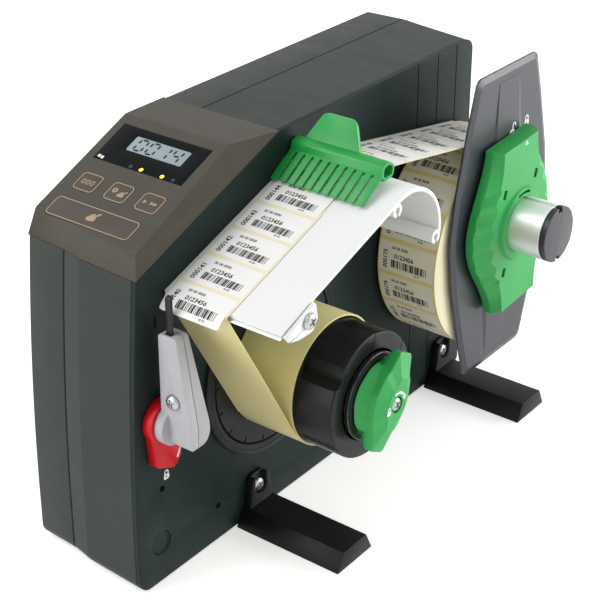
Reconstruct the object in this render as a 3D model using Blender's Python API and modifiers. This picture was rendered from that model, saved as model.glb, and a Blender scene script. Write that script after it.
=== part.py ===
"""Label dispenser: a desk machine that pulls a roll of labels over a peel edge and winds up the liner.

Lengths are metres and +Z is up. The mechanism wall faces +X and the operator stands at -Y.
Sizes are written in machine coordinates: X from the wall's outer face, Y from the front of the
panel seam, Z from the table. An empty shifts the whole machine, so the origin lies under the
middle of its bounding box.
"""
import math

import bmesh
import bpy
from mathutils import Matrix, Vector

MM = 0.001
MERGE = 0.0001
FIT = 0.3 * MM
OVERRUN = 2.0 * MM
SIDE_VIEW = (math.pi / 2, 0.0, math.pi / 2)
FRONT_VIEW = (math.pi / 2, 0.0, 0.0)
TOP_VIEW = (0.0, 0.0, 0.0)
ROUND_STEPS = 36
SMALL_STEPS = 16
FINE_STEPS = 48
SCREW_STEPS = 12

# Housing
BODY_WIDTH = 90.0 * MM
BODY_TOP = 253.5 * MM
BODY_BASE = 1.5 * MM
WALL_LENGTH = 338.5 * MM
WALL_THICKNESS = 3.0 * MM
SHELL = 2.5 * MM
FRONT_Y = -8.6 * MM
BOW_START_Z = 36.0 * MM
FRONT_BOW = 9.0 * MM
SEAM_FRONT_Z = 206.0 * MM
SEAM_BACK_Y = 126.0 * MM
BASE_CORNER = 9.0 * MM
TOP_CORNER = 8.0 * MM
REAR_BASE_CORNER = 5.0 * MM
FACET_X = 45.0 * MM
COVER_SEAM_X = 60.0 * MM
EDGE_X = 88.4 * MM
FACET_INSET = 2.2 * MM
SEAM_INSET = 5.5 * MM
LEFT_INSET = 7.0 * MM
EDGE_CHAMFER = 1.4 * MM
FACET_REAR = 7.0 * MM
REAR_LEAN = math.atan2(FACET_REAR, FACET_X - WALL_THICKNESS - FIT)
SEAM_REAR = 10.0 * MM
LEFT_REAR = 8.5 * MM
BOW_STEPS = 7
CORNER_STEPS = 4
GROOVE_Y = (272.0 * MM, 295.5 * MM, 318.0 * MM)
GROOVE_WIDTH = 1.0 * MM
GROOVE_DEPTH = 0.8 * MM
SMALL_HOLES = ((13.8 * MM, 65.5 * MM), (63.0 * MM, 25.7 * MM))
SMALL_HOLE_R = 2.0 * MM
SLOT_CENTRE = (14.0 * MM, 176.3 * MM)
SLOT_SIZE = (1.6 * MM, 8.0 * MM)
PLUG_CENTRE = (11.2 * MM, 28.2 * MM)
PLUG_R = 7.4 * MM
PLUG_FLANGE = 1.0 * MM
PLUG_RECESS = 0.4 * MM

# Control panel
PANEL_CREST_Y = 92.0 * MM
PANEL_BASE_Y = 10.0 * MM
PANEL_RISE = 35.0 * MM
PANEL_LIP_SETBACK = 2.7 * MM
PANEL_LIP_R = 4.0 * MM
PANEL_CREST_R = 8.0 * MM
PANEL_SKIN = 2.8 * MM
PANEL_CHAMFER = 8.0 * MM
PANEL_SIDE = 8.0 * MM
PANEL_BACK_WEB = 16.0 * MM
WINDOW_CENTRE = (-50.2 * MM, 66.6 * MM)
WINDOW_SIZE = (68.0 * MM, 30.6 * MM)
WINDOW_THICKNESS = 1.5 * MM
WINDOW_SINK = 0.1 * MM
LCD_CENTRE = (-48.5 * MM, 70.2 * MM)
LCD_SIZE = (42.0 * MM, 12.0 * MM)
LCD_THICKNESS = 5.0 * MM
LCD_SINK = 0.4 * MM
KEY_ROUNDING = 3.0 * MM
KEY_THICKNESS = 1.6 * MM
KEY_PROUD = 0.25 * MM
KEY_TRAVEL = 0.5 * MM
KEY_SIZE = (16.0 * MM, 14.0 * MM)
FEED_KEY_SIZE = (63.6 * MM, 14.6 * MM)
KEY_ROW = 33.2 * MM
KEYS = {
    "clear_key": ((-72.4 * MM, KEY_ROW), KEY_SIZE),
    "count_key": ((-48.5 * MM, KEY_ROW), KEY_SIZE),
    "advance_key": ((-24.8 * MM, KEY_ROW), KEY_SIZE),
    "feed_key": ((-50.6 * MM, 11.3 * MM), FEED_KEY_SIZE),
}
BOARD_DEPTH = 6.0 * MM
BOARD_THICKNESS = 1.6 * MM
BOARD_SIZE = (72.0 * MM, 66.0 * MM)
BOARD_CENTRE = (-48.5 * MM, 46.0 * MM)
BOARD_POST_R = 2.4 * MM

# Dispensing plate, peel edge and label strip
PLATE_TILT = math.radians(19.0)
ARCH_Y = 142.0 * MM
ARCH_Z = 198.3 * MM
ARCH_R = 34.0 * MM
ARCH_END = math.radians(-8.0)
ARCH_STEPS = 14
PLATE_THICKNESS = 2.5 * MM
PLATE_WIDTH = 81.5 * MM
PLATE_FRONT_Y = 22.0 * MM
PORT_R = 4.4 * MM
PORT_BORE = 2.1 * MM
PORT_MOUTH = 2.2 * MM
PORT_Y = 128.0 * MM
PEEL_Y = 20.2 * MM
PEEL_THICKNESS = 1.6 * MM
PEEL_BACK_Y = 50.0 * MM
BOSS_Y = 41.0 * MM
BOSS_R = 4.2 * MM
EAR_THICKNESS = 2.0 * MM
EAR_SCREW_R = 4.8 * MM
EAR_SCREW_HEAD = 2.6 * MM
STRIP_X = 3.0 * MM
STRIP_WIDTH = 44.5 * MM
STRIP_THICKNESS = 0.5 * MM
LABEL_DROOP = math.radians(45.0)
LABEL_OVERHANG = 9.5 * MM
DROOP_SHARES = (0.5, 0.9)
LINER_THICKNESS = 0.3 * MM

# Label comb
COMB_Y = 140.5 * MM
COMB_Z = 240.8 * MM
COMB_X = 1.6 * MM
COMB_WIDTH = 65.4 * MM
COMB_PIN_R = 2.6 * MM
COMB_PIN_HEAD_R = 4.7 * MM
COMB_PIN_REACH = 38.0 * MM
COMB_BAR = (
    (-6.6 * MM, -1.2 * MM, 2.0 * MM), (-4.6 * MM, -5.2 * MM, 1.5 * MM), (4.8 * MM, -4.4 * MM, 2.5 * MM),
    (6.4 * MM, 2.2 * MM, 3.0 * MM), (1.0 * MM, 6.0 * MM, 3.5 * MM), (-5.4 * MM, 4.4 * MM, 3.0 * MM),
)
COMB_BORE = (
    (-4.6 * MM, -1.2 * MM, 1.0 * MM), (-3.4 * MM, -3.4 * MM, 1.0 * MM), (3.6 * MM, -2.9 * MM, 1.5 * MM),
    (4.6 * MM, 1.8 * MM, 1.8 * MM), (0.8 * MM, 4.0 * MM, 2.0 * MM), (-3.8 * MM, 3.0 * MM, 1.8 * MM),
)
COMB_SLOTS = 10
COMB_SLOT = 1.3 * MM
TOOTH_THICKNESS = 1.6 * MM
TOOTH_ROOT = (-5.2 * MM, -1.6 * MM)
TOOTH_TIP_Y = -24.8 * MM
TOOTH_TIP_Z = -13.6 * MM
TAB_THICKNESS = 2.2 * MM
TAB_LEAN = math.radians(14.0)
TAB_HEIGHT = 20.5 * MM
TAB_BASE = (5.0 * MM, 47.0 * MM)
TAB_TOP = (18.0 * MM, 40.0 * MM)
TAB_CORNER = 5.5 * MM
TAB_SET = 2.6 * MM

# Label sensor and its clamp lever
SENSOR_Y = 13.0 * MM
SENSOR_Z = 114.8 * MM
SENSOR_X = 8.5 * MM
SENSOR_TOP = 60.6 * MM
SENSOR_HEAD_WIDTH = 12.8 * MM
SENSOR_FOOT_WIDTH = 21.5 * MM
SENSOR_FOOT_R = 10.0 * MM
SENSOR_FRONT = 6.4 * MM
SENSOR_INNER_DROP = 4.0 * MM
SENSOR_OUTER_DROP = 12.0 * MM
SENSOR_HEEL = 7.0 * MM
SENSOR_HEAD_BACK = 3.6 * MM
SENSOR_PART = 0.6 * MM
LOBE_R = 12.2 * MM
LOBE_DEPTH = 5.0 * MM
STUD_R = 4.0 * MM
STUD_REACH = 19.0 * MM
STUD_HEAD_R = 7.0 * MM
STUD_HEAD = 3.0 * MM
CLAMP_X = 0.8 * MM
CLAMP_THICKNESS = 6.6 * MM
CLAMP_R = 14.2 * MM
CLAMP_REACH = 33.0 * MM
CLAMP_TAB_FRONT = 12.35 * MM
CLAMP_TAB_REAR = 11.7 * MM
CLAMP_TAB_ROOT = 5.7 * MM
CLAMP_SHOULDER = 26.4 * MM
CLAMP_HEEL = 9.75 * MM
CLAMP_TIP = 4.55 * MM
CLAMP_TOE = 10.4 * MM
CLAMP_CORNER = 2.8 * MM
FEELER_X = 12.2 * MM
FEELER_WIDTH = 4.4 * MM
FEELER_THICKNESS = 1.6 * MM
FEELER_ROOT = 44.0 * MM
FEELER_LEAN = 3.0 * MM
FEELER_TIP = 82.0 * MM
FEELER_HOOK = 1.4 * MM
FEELER_PLAY = 2.2 * MM
FEELER_Y = -1.6 * MM
SENSOR_SCREW_R = 4.6 * MM
SENSOR_SCREW_Z = 20.0 * MM
SENSOR_SCREW_X = 9.5 * MM
SENSOR_SCREW_LENGTH = 14.0 * MM

# Liner rewinder
DRUM_Y = 116.3 * MM
DRUM_Z = 107.6 * MM
DRUM_R = 40.0 * MM
DRUM_START = 3.0 * MM
DRUM_END = 75.0 * MM
DRUM_WALL = 4.0 * MM
DRUM_WEB = 4.0 * MM
DRUM_LIP_R = 28.3 * MM
FLANGE_R = 63.6 * MM
FLANGE_THICKNESS = 2.0 * MM
FLANGE_GAP = 0.5 * MM
FLANGE_LINE_R = 56.5 * MM
FLANGE_LINE = 0.8 * MM
FLANGE_NOTCHES = 18
NOTCH_SIZE = (3.4 * MM, 1.2 * MM)
NOTCH_PHASE = math.radians(-3.0)
NOTCH_DEPTH = 0.6 * MM
SCALLOP_R = 12.0 * MM
SCALLOP_DEPTH = 3.0 * MM
SCALLOP_ANGLE = math.radians(142.0)
SEGMENT_ANGLE = math.radians(59.0)
SEGMENT_WIDTH = 33.0 * MM
SEGMENT_GAP = 0.6 * MM
SEGMENT_INNER_R = 28.9 * MM
SEGMENT_TRAVEL = 2.4 * MM
DISC_R = 27.6 * MM
DISC_THICKNESS = 2.7 * MM
SHAFT_R = 6.0 * MM
SHAFT_TAIL = 50.0 * MM
KNOB_START = 78.4 * MM
KNOB_COLLAR = 2.6 * MM
KNOB_SHOULDER = 90.0 * MM
KNOB_FACE = 94.0 * MM
KNOB_COLLAR_R = 22.5 * MM
KNOB_LOBE_R = 30.6 * MM
KNOB_WAIST = 19.0 * MM
KNOB_LOBE_HALF = 6.4 * MM
KNOB_SHOULDER_Y = 14.5 * MM
KNOB_NECK = 10.9 * MM
KNOB_ANGLE = math.radians(62.0)
KNOB_SHARES = (1.0, 0.97, 0.5)
KNOB_SCREW_R = 4.4 * MM
KNOB_SCREW_HEAD = 2.4 * MM
KNOB_SCREW_LENGTH = 10.0 * MM
SCREW_SHANK_R = 2.4 * MM
SCREW_TOP_SHARE = 0.6
WOUND_LINER = 1.2 * MM

# Drive train inside the housing
BEARING_R = 14.0 * MM
BEARING_WIDTH = 8.0 * MM
BEARING_THROAT_R = 9.8 * MM
BEARING_BLOCK_R = 20.0 * MM
BEARING_RIM_R = 26.0 * MM
BEARING_BLOCK_LENGTH = 29.0 * MM
PULLEY_X = 41.0 * MM
PULLEY_WIDTH = 9.0 * MM
DRIVEN_PULLEY_R = 27.0 * MM
MOTOR_PULLEY_R = 9.0 * MM
DRIVEN_TEETH = 30
MOTOR_TEETH = 10
TOOTH_DEPTH = 1.2 * MM
TOOTH_SHARES = ((0.0, 0.0), (0.45, 0.0), (0.55, 1.0), (0.9, 1.0))
BELT_WIDTH = 7.0 * MM
BELT_THICKNESS = 1.4 * MM
MOTOR_Y = 196.0 * MM
MOTOR_Z = 62.0 * MM
MOTOR_R = 25.0 * MM
MOTOR_LENGTH = 26.0 * MM
MOTOR_SHAFT_R = 3.0 * MM
BRACKET_SIZE = (64.0 * MM, 64.0 * MM)
BRACKET_THICKNESS = 2.4 * MM
SUPPLY_CENTRE = (278.0 * MM, 62.0 * MM)
SUPPLY_SIZE = (96.0 * MM, 70.0 * MM)
SUPPLY_STANDOFF = 6.0 * MM
SUPPLY_BLOCK = (34.0 * MM, 30.0 * MM, 26.0 * MM)
SUPPLY_CAN_R = 8.0 * MM
SUPPLY_CAN = 24.0 * MM
SUPPLY_SHARE = 0.24

# Mains inlet and switch in the rear of the housing
INLET_CENTRE = (-27.0 * MM, 44.0 * MM)
INLET_SIZE = (27.0 * MM, 19.6 * MM)
INLET_FLANGE = (34.0 * MM, 28.0 * MM)
INLET_DEPTH = 16.0 * MM
INLET_WALL = 2.0 * MM
FLANGE_PLATE = 1.6 * MM
PIN_SIZE = (1.6 * MM, 4.0 * MM)
PIN_PITCH = 6.5 * MM
SWITCH_CENTRE = (-27.0 * MM, 78.0 * MM)
SWITCH_SIZE = (12.6 * MM, 18.6 * MM)
SWITCH_DEPTH = 9.0 * MM
SWITCH_DISH = math.radians(8.0)
SWITCH_SHARE = 0.8

# Supply spindle, its roll and the guide wing
SPINDLE_Y = 298.0 * MM
SPINDLE_Z = 149.3 * MM
SPINDLE_R = 19.2 * MM
SPINDLE_WALL = 2.5 * MM
SPINDLE_END = 92.0 * MM
CAP_THICKNESS = 4.5 * MM
CAP_PLUG = 10.0 * MM
CAP_NOTCH = (4.4 * MM, 3.4 * MM)
KEYWAY = (3.0 * MM, 1.2 * MM)
BASE_DISC_R = 30.0 * MM
BASE_DISC = 2.2 * MM
BASE_SPIGOT = 18.0 * MM
BOLT_R = 4.0 * MM
BOLT_HEAD_R = 7.5 * MM
BOLT_HEAD = 5.0 * MM
BOLT_REACH = 14.0 * MM
CORE_BORE_R = 38.1 * MM
CORE_WALL = 5.0 * MM
ROLL_R = 72.5 * MM
WING_X = 49.8 * MM
WING_THICKNESS = 3.0 * MM
WING_BORE_R = 24.6 * MM
WING_HALF = ((0.0, 61.5 * MM), (33.0 * MM, 57.0 * MM), (75.0 * MM, 46.0 * MM), (100.0 * MM, 38.5 * MM))
WING_END = 107.0 * MM
WING_END_R = 6.0 * MM
WING_CHAMFER = 3.0 * MM
WING_LIP_SHARE = 0.5
RIDGE_ROOT = 36.0 * MM
RIDGE_TIP = 98.0 * MM
RIDGE_HALF = 15.0 * MM
RIDGE_RISE = 3.2 * MM
HUB_BACK = 55.0 * MM
HUB_FACE = 67.0 * MM
HUB_BOSS_R = 25.5 * MM
HUB_BOSS = 2.0 * MM
HUB_SLEEVE_R = 24.0 * MM
HUB_BACK_POINTS = ((25.0 * MM, 60.0 * MM), (37.0 * MM, 31.0 * MM), (48.0 * MM, 0.0))
HUB_FACE_POINTS = ((21.0 * MM, 59.0 * MM), (22.5 * MM, 34.0 * MM), (34.0 * MM, 0.0))
HUB_GRIPS = 5
HUB_GRIP_DEPTH = 1.5 * MM
HUB_SIDE_STEPS = 20
HUB_REST = math.radians(4.0)
HUB_SLOT = (4.0 * MM, 6.4 * MM)
HUB_SLOT_DEPTH = 4.0 * MM
HUB_SLOT_PLACES = ((-19.5 * MM, 29.0 * MM), (19.5 * MM, 29.0 * MM), (-19.5 * MM, -29.0 * MM))
HUB_ARC_R = 22.6 * MM
HUB_ARC_WIDTH = 2.4 * MM
HUB_ARC = (math.radians(66.0), math.radians(104.0))

# Feet
FOOT_Y = (79.6 * MM, 292.2 * MM)
FOOT_WIDTH = 35.3 * MM
FOOT_TAPER = 5.9 * MM
FOOT_HEIGHT = 12.6 * MM
FOOT_LENGTH = 79.1 * MM
FOOT_EAR_TOP = 33.5 * MM
FOOT_EAR_THICKNESS = 6.0 * MM
FOOT_EAR_BASE = 22.0 * MM
FOOT_EAR_HEAD = 16.0 * MM
FOOT_EAR_R = 5.0 * MM
FOOT_SCREW_Z = 24.5 * MM
FOOT_POCKET_R = 5.6 * MM
FOOT_POCKET = 3.6 * MM
FOOT_SCREW_R = 4.8 * MM
FOOT_SCREW_HEAD = 2.8 * MM
FOOT_SCREW_LENGTH = 10.0 * MM
RUBBER_R = 7.0 * MM
RUBBER_X = -76.0 * MM
RUBBER_Y = (26.0 * MM, 318.0 * MM)

FINISHES = {
    "housing": ((0.055, 0.068, 0.065), 0.45, 0.0),
    "panel": ((0.15, 0.14, 0.125), 0.5, 0.0),
    "key": ((0.17, 0.155, 0.135), 0.55, 0.0),
    "window": ((0.01, 0.012, 0.014), 0.1, 0.0),
    "lcd": ((0.55, 0.68, 0.66), 0.2, 0.0),
    "circuit": ((0.02, 0.12, 0.05), 0.5, 0.0),
    "black": ((0.018, 0.018, 0.02), 0.5, 0.0),
    "green": ((0.02, 0.55, 0.13), 0.4, 0.0),
    "white": ((0.82, 0.83, 0.82), 0.4, 0.0),
    "label": ((0.9, 0.89, 0.84), 0.55, 0.0),
    "liner": ((0.83, 0.75, 0.4), 0.55, 0.0),
    "card": ((0.5, 0.36, 0.2), 0.85, 0.0),
    "sensor": ((0.6, 0.6, 0.6), 0.45, 0.0),
    "red": ((0.7, 0.01, 0.01), 0.35, 0.0),
    "slate": ((0.13, 0.14, 0.15), 0.4, 0.0),
    "steel": ((0.6, 0.61, 0.63), 0.3, 1.0),
    "aluminium": ((0.78, 0.79, 0.8), 0.25, 1.0),
    "rubber": ((0.02, 0.02, 0.02), 0.9, 0.0),
}


def clear_scene():
    """Remove whatever the opened file holds."""
    for item in list(bpy.data.objects):
        bpy.data.objects.remove(item, do_unlink=True)


def new_collection(name):
    """A collection linked to the scene."""
    group = bpy.data.collections.new(name)
    bpy.context.scene.collection.children.link(group)
    return group


clear_scene()
PARTS = new_collection("label_dispenser")
CUTTERS = new_collection("cutters")


def new_axis(name, location, parent=None):
    """An empty that carries pieces: the machine's frame, or the axis that a body turns about."""
    empty = bpy.data.objects.new(name, None)
    empty.location = location
    empty.parent = parent
    PARTS.objects.link(empty)
    return empty


LENGTH_MIDDLE = (FRONT_Y + SPINDLE_Y + ROLL_R) / 2
WIDTH_MIDDLE = (SPINDLE_END + CAP_THICKNESS - BODY_WIDTH) / 2
MACHINE = new_axis("machine_frame", (-WIDTH_MIDDLE, -LENGTH_MIDDLE, 0.0))
DRUM_AXIS = new_axis("rewinder_axis", (0.0, DRUM_Y, DRUM_Z), MACHINE)
SENSOR_AXIS = new_axis("sensor_axis", (0.0, SENSOR_Y, SENSOR_Z), MACHINE)
COMB_AXIS = new_axis("comb_axis", (0.0, COMB_Y, COMB_Z), MACHINE)
SPINDLE_AXIS = new_axis("spindle_axis", (0.0, SPINDLE_Y, SPINDLE_Z), MACHINE)
HUB_AXIS = new_axis("hub_axis", (0.0, 0.0, 0.0), SPINDLE_AXIS)
HUB_AXIS.rotation_euler = (HUB_REST, 0.0, 0.0)
ROLL_DROP = CORE_BORE_R - SPINDLE_R - FIT
ROLL_AXIS = new_axis("roll_axis", (0.0, SPINDLE_Y, SPINDLE_Z - ROLL_DROP), MACHINE)
MOTOR_AXIS = new_axis("motor_axis", (0.0, MOTOR_Y, MOTOR_Z), MACHINE)


def arc(centre, radius, start, end, steps):
    """Points along an arc, both ends included."""
    angles = [start + (end - start) * i / steps for i in range(steps + 1)]
    return [(centre[0] + radius * math.cos(a), centre[1] + radius * math.sin(a)) for a in angles]


def rounded(corners, steps=CORNER_STEPS):
    """An outline whose corners (u, v, radius) are filleted."""
    points = []
    count = len(corners)
    for i, (u, v, radius) in enumerate(corners):
        here = Vector((u, v))
        before = (Vector(corners[i - 1][:2]) - here).normalized()
        after = (Vector(corners[(i + 1) % count][:2]) - here).normalized()
        half = before.angle(after) / 2
        if radius == 0.0 or abs(half - math.pi / 2) < MERGE:
            points.append((u, v))
            continue
        centre = here + (before + after).normalized() * radius / math.sin(half)
        reach = radius / math.tan(half)
        start = here + before * reach - centre
        sweep = (here + after * reach - centre).angle_signed(start)
        for k in range(steps + 1):
            points.append(tuple(centre + Matrix.Rotation(sweep * k / steps, 2) @ start))
    return points


def block_outline(width, height, radius):
    """A rectangle round the origin with filleted corners."""
    half_u, half_v = width / 2, height / 2
    signs = ((-1, -1), (1, -1), (1, 1), (-1, 1))
    return rounded([(half_u * a, half_v * b, radius) for a, b in signs])


def turn_points(points, angle):
    """Outline points turned about the origin."""
    return [tuple(Matrix.Rotation(angle, 2) @ Vector(p)) for p in points]


def material(finish):
    """The Principled material of a finish, made once."""
    made = bpy.data.materials.get(finish)
    if made:
        return made
    colour, roughness, metallic = FINISHES[finish]
    made = bpy.data.materials.new(finish)
    made.use_nodes = True
    shader = made.node_tree.nodes["Principled BSDF"]
    shader.inputs["Base Color"].default_value = (*colour, 1.0)
    shader.inputs["Roughness"].default_value = roughness
    shader.inputs["Metallic"].default_value = metallic
    return made


def add_object(name, mesh, finish, location, rotation, parent):
    """An object in the parts collection, or a hidden cutter where no finish is given."""
    piece = bpy.data.objects.new(name, mesh)
    piece.parent = parent or MACHINE
    piece.location = location
    piece.rotation_euler = rotation
    if finish:
        mesh.materials.append(material(finish))
        PARTS.objects.link(piece)
        return piece
    piece.hide_render = True
    piece.display_type = "WIRE"
    CUTTERS.objects.link(piece)
    return piece


def outline_solid(name, loops, depth, finish=None, location=(0, 0, 0), rotation=SIDE_VIEW, parent=None):
    """A flat outline, with any holes, made thick along its local +Z from the origin."""
    curve = bpy.data.curves.new(name, "CURVE")
    curve.dimensions = "2D"
    curve.fill_mode = "BOTH"
    curve.extrude = depth / 2
    for loop in loops:
        spline = curve.splines.new("POLY")
        spline.points.add(len(loop) - 1)
        for point, (u, v) in zip(spline.points, loop):
            point.co = (u, v, 0.0, 1.0)
        spline.use_cyclic_u = True
    holder = bpy.data.objects.new(name, curve)
    PARTS.objects.link(holder)
    bpy.context.view_layer.update()
    graph = bpy.context.evaluated_depsgraph_get()
    mesh = bpy.data.meshes.new_from_object(holder.evaluated_get(graph))
    bpy.data.objects.remove(holder, do_unlink=True)
    bpy.data.curves.remove(curve)
    shape = bmesh.new()
    shape.from_mesh(mesh)
    bmesh.ops.remove_doubles(shape, verts=shape.verts, dist=MERGE / 10)
    bmesh.ops.translate(shape, verts=shape.verts, vec=(0.0, 0.0, depth / 2))
    bmesh.ops.recalc_face_normals(shape, faces=shape.faces)
    shape.to_mesh(mesh)
    shape.free()
    mesh.materials.clear()
    mesh.name = name
    return add_object(name, mesh, finish, location, rotation, parent)


def turned(name, profile, finish=None, location=(0, 0, 0), rotation=SIDE_VIEW, parent=None, steps=ROUND_STEPS):
    """A closed profile of (radius, height) points turned about the local Z axis."""
    area = sum(a[0] * b[1] - b[0] * a[1] for a, b in zip(profile, profile[1:] + profile[:1]))
    points = profile if area < 0 else profile[::-1]
    on_axis = [i for i, p in enumerate(points) if p[0] == 0.0]
    edges = [(i, (i + 1) % len(points)) for i in range(len(points))]
    if on_axis:
        edges = [e for e in edges if not (e[0] in on_axis and e[1] in on_axis)]
    mesh = bpy.data.meshes.new(name)
    mesh.from_pydata([(r, 0.0, h) for r, h in points], edges, [])
    piece = add_object(name, mesh, finish, location, rotation, parent)
    screw = piece.modifiers.new("turn", "SCREW")
    screw.axis = "Z"
    screw.steps = steps
    screw.render_steps = steps
    screw.use_merge_vertices = True
    screw.merge_threshold = MERGE / 2
    screw.use_smooth_shade = True
    return piece


def ring_profile(outer, inner, start, end):
    """The profile of a plain ring or, with no bore, of a disc."""
    return [(outer, end), (outer, start), (inner, start), (inner, end)]


def block(name, size, finish=None, location=(0, 0, 0), rotation=TOP_VIEW, parent=None, bevel=0.0):
    """A box round its origin with rounded edges."""
    mesh = bpy.data.meshes.new(name)
    shape = bmesh.new()
    bmesh.ops.create_cube(shape, size=1.0, matrix=Matrix.Diagonal((*size, 1.0)))
    shape.to_mesh(mesh)
    shape.free()
    piece = add_object(name, mesh, finish, location, rotation, parent)
    if bevel:
        rounding = piece.modifiers.new("rounding", "BEVEL")
        rounding.width = bevel
        rounding.segments = 2
    return piece


def combine(piece, tool, operation="DIFFERENCE"):
    """Cut a piece with a hidden tool, or weld the tool to it."""
    step = piece.modifiers.new(tool.name, "BOOLEAN")
    step.operation = operation
    step.object = tool
    step.solver = "EXACT"
    return piece


def loft(name, sections, finish=None, capped=True, parent=None):
    """A skin through sections with equal counts of points, open or with flat ends."""
    count = len(sections[0])
    shape = bmesh.new()
    rings = [[shape.verts.new(p) for p in section] for section in sections]
    spans = count if capped else count - 1
    for low, high in zip(rings, rings[1:]):
        for i in range(spans):
            j = (i + 1) % count
            shape.faces.new((low[i], low[j], high[j], high[i]))
    bmesh.ops.triangulate(shape, faces=shape.faces)
    if capped:
        shape.faces.new(rings[0])
        shape.faces.new(rings[-1])
    bmesh.ops.recalc_face_normals(shape, faces=shape.faces)
    mesh = bpy.data.meshes.new(name)
    shape.to_mesh(mesh)
    shape.free()
    return add_object(name, mesh, finish, (0, 0, 0), TOP_VIEW, parent)


def thicken(piece, thickness):
    """Give an open skin a wall on its inner side."""
    wall = piece.modifiers.new("wall", "SOLIDIFY")
    wall.thickness = thickness
    wall.offset = -1.0
    wall.use_even_offset = True
    return piece


def hole(piece, name, radius, start, end, centre=(0.0, 0.0), parent=None, steps=SMALL_STEPS):
    """Drill a piece along X between two stations."""
    drill = turned(name, ring_profile(radius, 0.0, start, end), location=(0.0, *centre), parent=parent, steps=steps)
    return combine(piece, drill)


# Housing outlines and shells


def front_bow(z):
    """How far the housing's front leans back at a height."""
    rise = SEAM_FRONT_Z - BOW_START_Z
    radius = (rise ** 2 + FRONT_BOW ** 2) / (2 * FRONT_BOW)
    height = max(z - BOW_START_Z, 0.0)
    return radius - math.sqrt(radius ** 2 - height ** 2)


def body_outline(inset, rear, shrink=0.0):
    """Side view from the back of the panel seam, over the rear and base, to the seam's front."""
    front = FRONT_Y + inset
    top, base = BODY_TOP - shrink, BODY_BASE + shrink
    points = [(SEAM_BACK_Y, top)]
    points += arc((rear - TOP_CORNER, top - TOP_CORNER), TOP_CORNER, math.pi / 2, 0.0, CORNER_STEPS)
    low = (rear - REAR_BASE_CORNER, base + REAR_BASE_CORNER)
    points += arc(low, REAR_BASE_CORNER, 0.0, -math.pi / 2, CORNER_STEPS)
    low = (front + BASE_CORNER, base + BASE_CORNER)
    points += arc(low, BASE_CORNER, -math.pi / 2, -math.pi, CORNER_STEPS)
    rise = SEAM_FRONT_Z - BOW_START_Z
    heights = [BOW_START_Z + rise * i / BOW_STEPS for i in range(BOW_STEPS + 1)]
    points += [(front + front_bow(z), z) for z in heights]
    return points


def section(outline, x):
    """Side-view points set at one station across the machine."""
    return [(x, y, z) for y, z in outline]


def make_side_wall():
    """The mechanism plate that carries everything on the right."""
    wall = outline_solid("side_wall", [body_outline(0.0, WALL_LENGTH)], WALL_THICKNESS, "housing",
                         (-WALL_THICKNESS, 0.0, 0.0))
    for i, y in enumerate(GROOVE_Y):
        groove = block(f"groove_{i}", (GROOVE_DEPTH * 2, GROOVE_WIDTH, BODY_TOP * 2), location=(0.0, y, 0.0))
        combine(wall, groove)
    start, end = -WALL_THICKNESS - OVERRUN, OVERRUN
    for i, centre in enumerate(SMALL_HOLES):
        hole(wall, f"small_hole_{i}", SMALL_HOLE_R, start, end, centre)
    slot = block("wall_slot", (WALL_THICKNESS * 4, *SLOT_SIZE), location=(0.0, *SLOT_CENTRE))
    combine(wall, slot)
    hole(wall, "plug_hole", PLUG_R + FIT, start, end, PLUG_CENTRE)
    hole(wall, "shaft_hole", SHAFT_R + OVERRUN, start, end, (DRUM_Y, DRUM_Z))
    hole(wall, "stud_hole", STUD_R + FIT, start, end, (SENSOR_Y, SENSOR_Z))
    hole(wall, "bolt_hole", BOLT_R + FIT, start, end, (SPINDLE_Y, SPINDLE_Z))
    hole(wall, "comb_pin_hole", COMB_PIN_R + FIT, start, end, (COMB_Y, COMB_Z))
    for i, y in enumerate(FOOT_Y):
        hole(wall, f"foot_screw_hole_{i}", SCREW_SHANK_R + FIT, start, end, (y + FOOT_WIDTH / 2, FOOT_SCREW_Z))


def make_hole_plug():
    """The blind cap in the spare hole of the wall."""
    profile = [
        (PLUG_R, -PLUG_RECESS), (PLUG_R, -WALL_THICKNESS), (PLUG_R - PLUG_FLANGE, -WALL_THICKNESS - PLUG_FLANGE),
        (0.0, -WALL_THICKNESS - PLUG_FLANGE), (0.0, -PLUG_RECESS),
    ]
    turned("hole_plug", profile, "housing", (0.0, *PLUG_CENTRE), steps=SMALL_STEPS)


def make_main_cover():
    """The wrap-round shell between the wall and the left cover, open under the panel."""
    start = WALL_THICKNESS + FIT
    stations = (
        (start, 0.0, WALL_LENGTH),
        (FACET_X, FACET_INSET, WALL_LENGTH + FACET_REAR),
        (COVER_SEAM_X, SEAM_INSET, WALL_LENGTH + SEAM_REAR),
    )
    cover = loft("main_cover", [section(body_outline(i, r), -x) for x, i, r in stations], "housing", capped=False)
    thicken(cover, SHELL)
    combine(cover, seam_trim("main_cover_trim", COVER_SEAM_X - FIT, -1))
    for name, size, centre in (("inlet_hole", INLET_SIZE, INLET_CENTRE), ("switch_hole", SWITCH_SIZE, SWITCH_CENTRE)):
        opening = (size[0] + FIT * 2, SHELL * 8, size[1] + FIT * 2)
        place = (centre[0], rear_face(centre[0]), centre[1])
        combine(cover, block(name, opening, location=place, rotation=(0.0, 0.0, -REAR_LEAN)))


def seam_trim(name, edge, side):
    """The space beyond a cover's flat edge at the seam, to its left for side -1."""
    size = (COVER_SEAM_X, WALL_LENGTH * 3, BODY_TOP * 4)
    return block(name, size, location=(side * COVER_SEAM_X / 2 - edge, 0.0, 0.0))


def rear_face(x):
    """Where the rear of the main cover lies at a station across it."""
    near, far = WALL_THICKNESS + FIT, FACET_X
    share = (-x - near) / (far - near)
    return WALL_LENGTH + FACET_REAR * share


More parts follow.
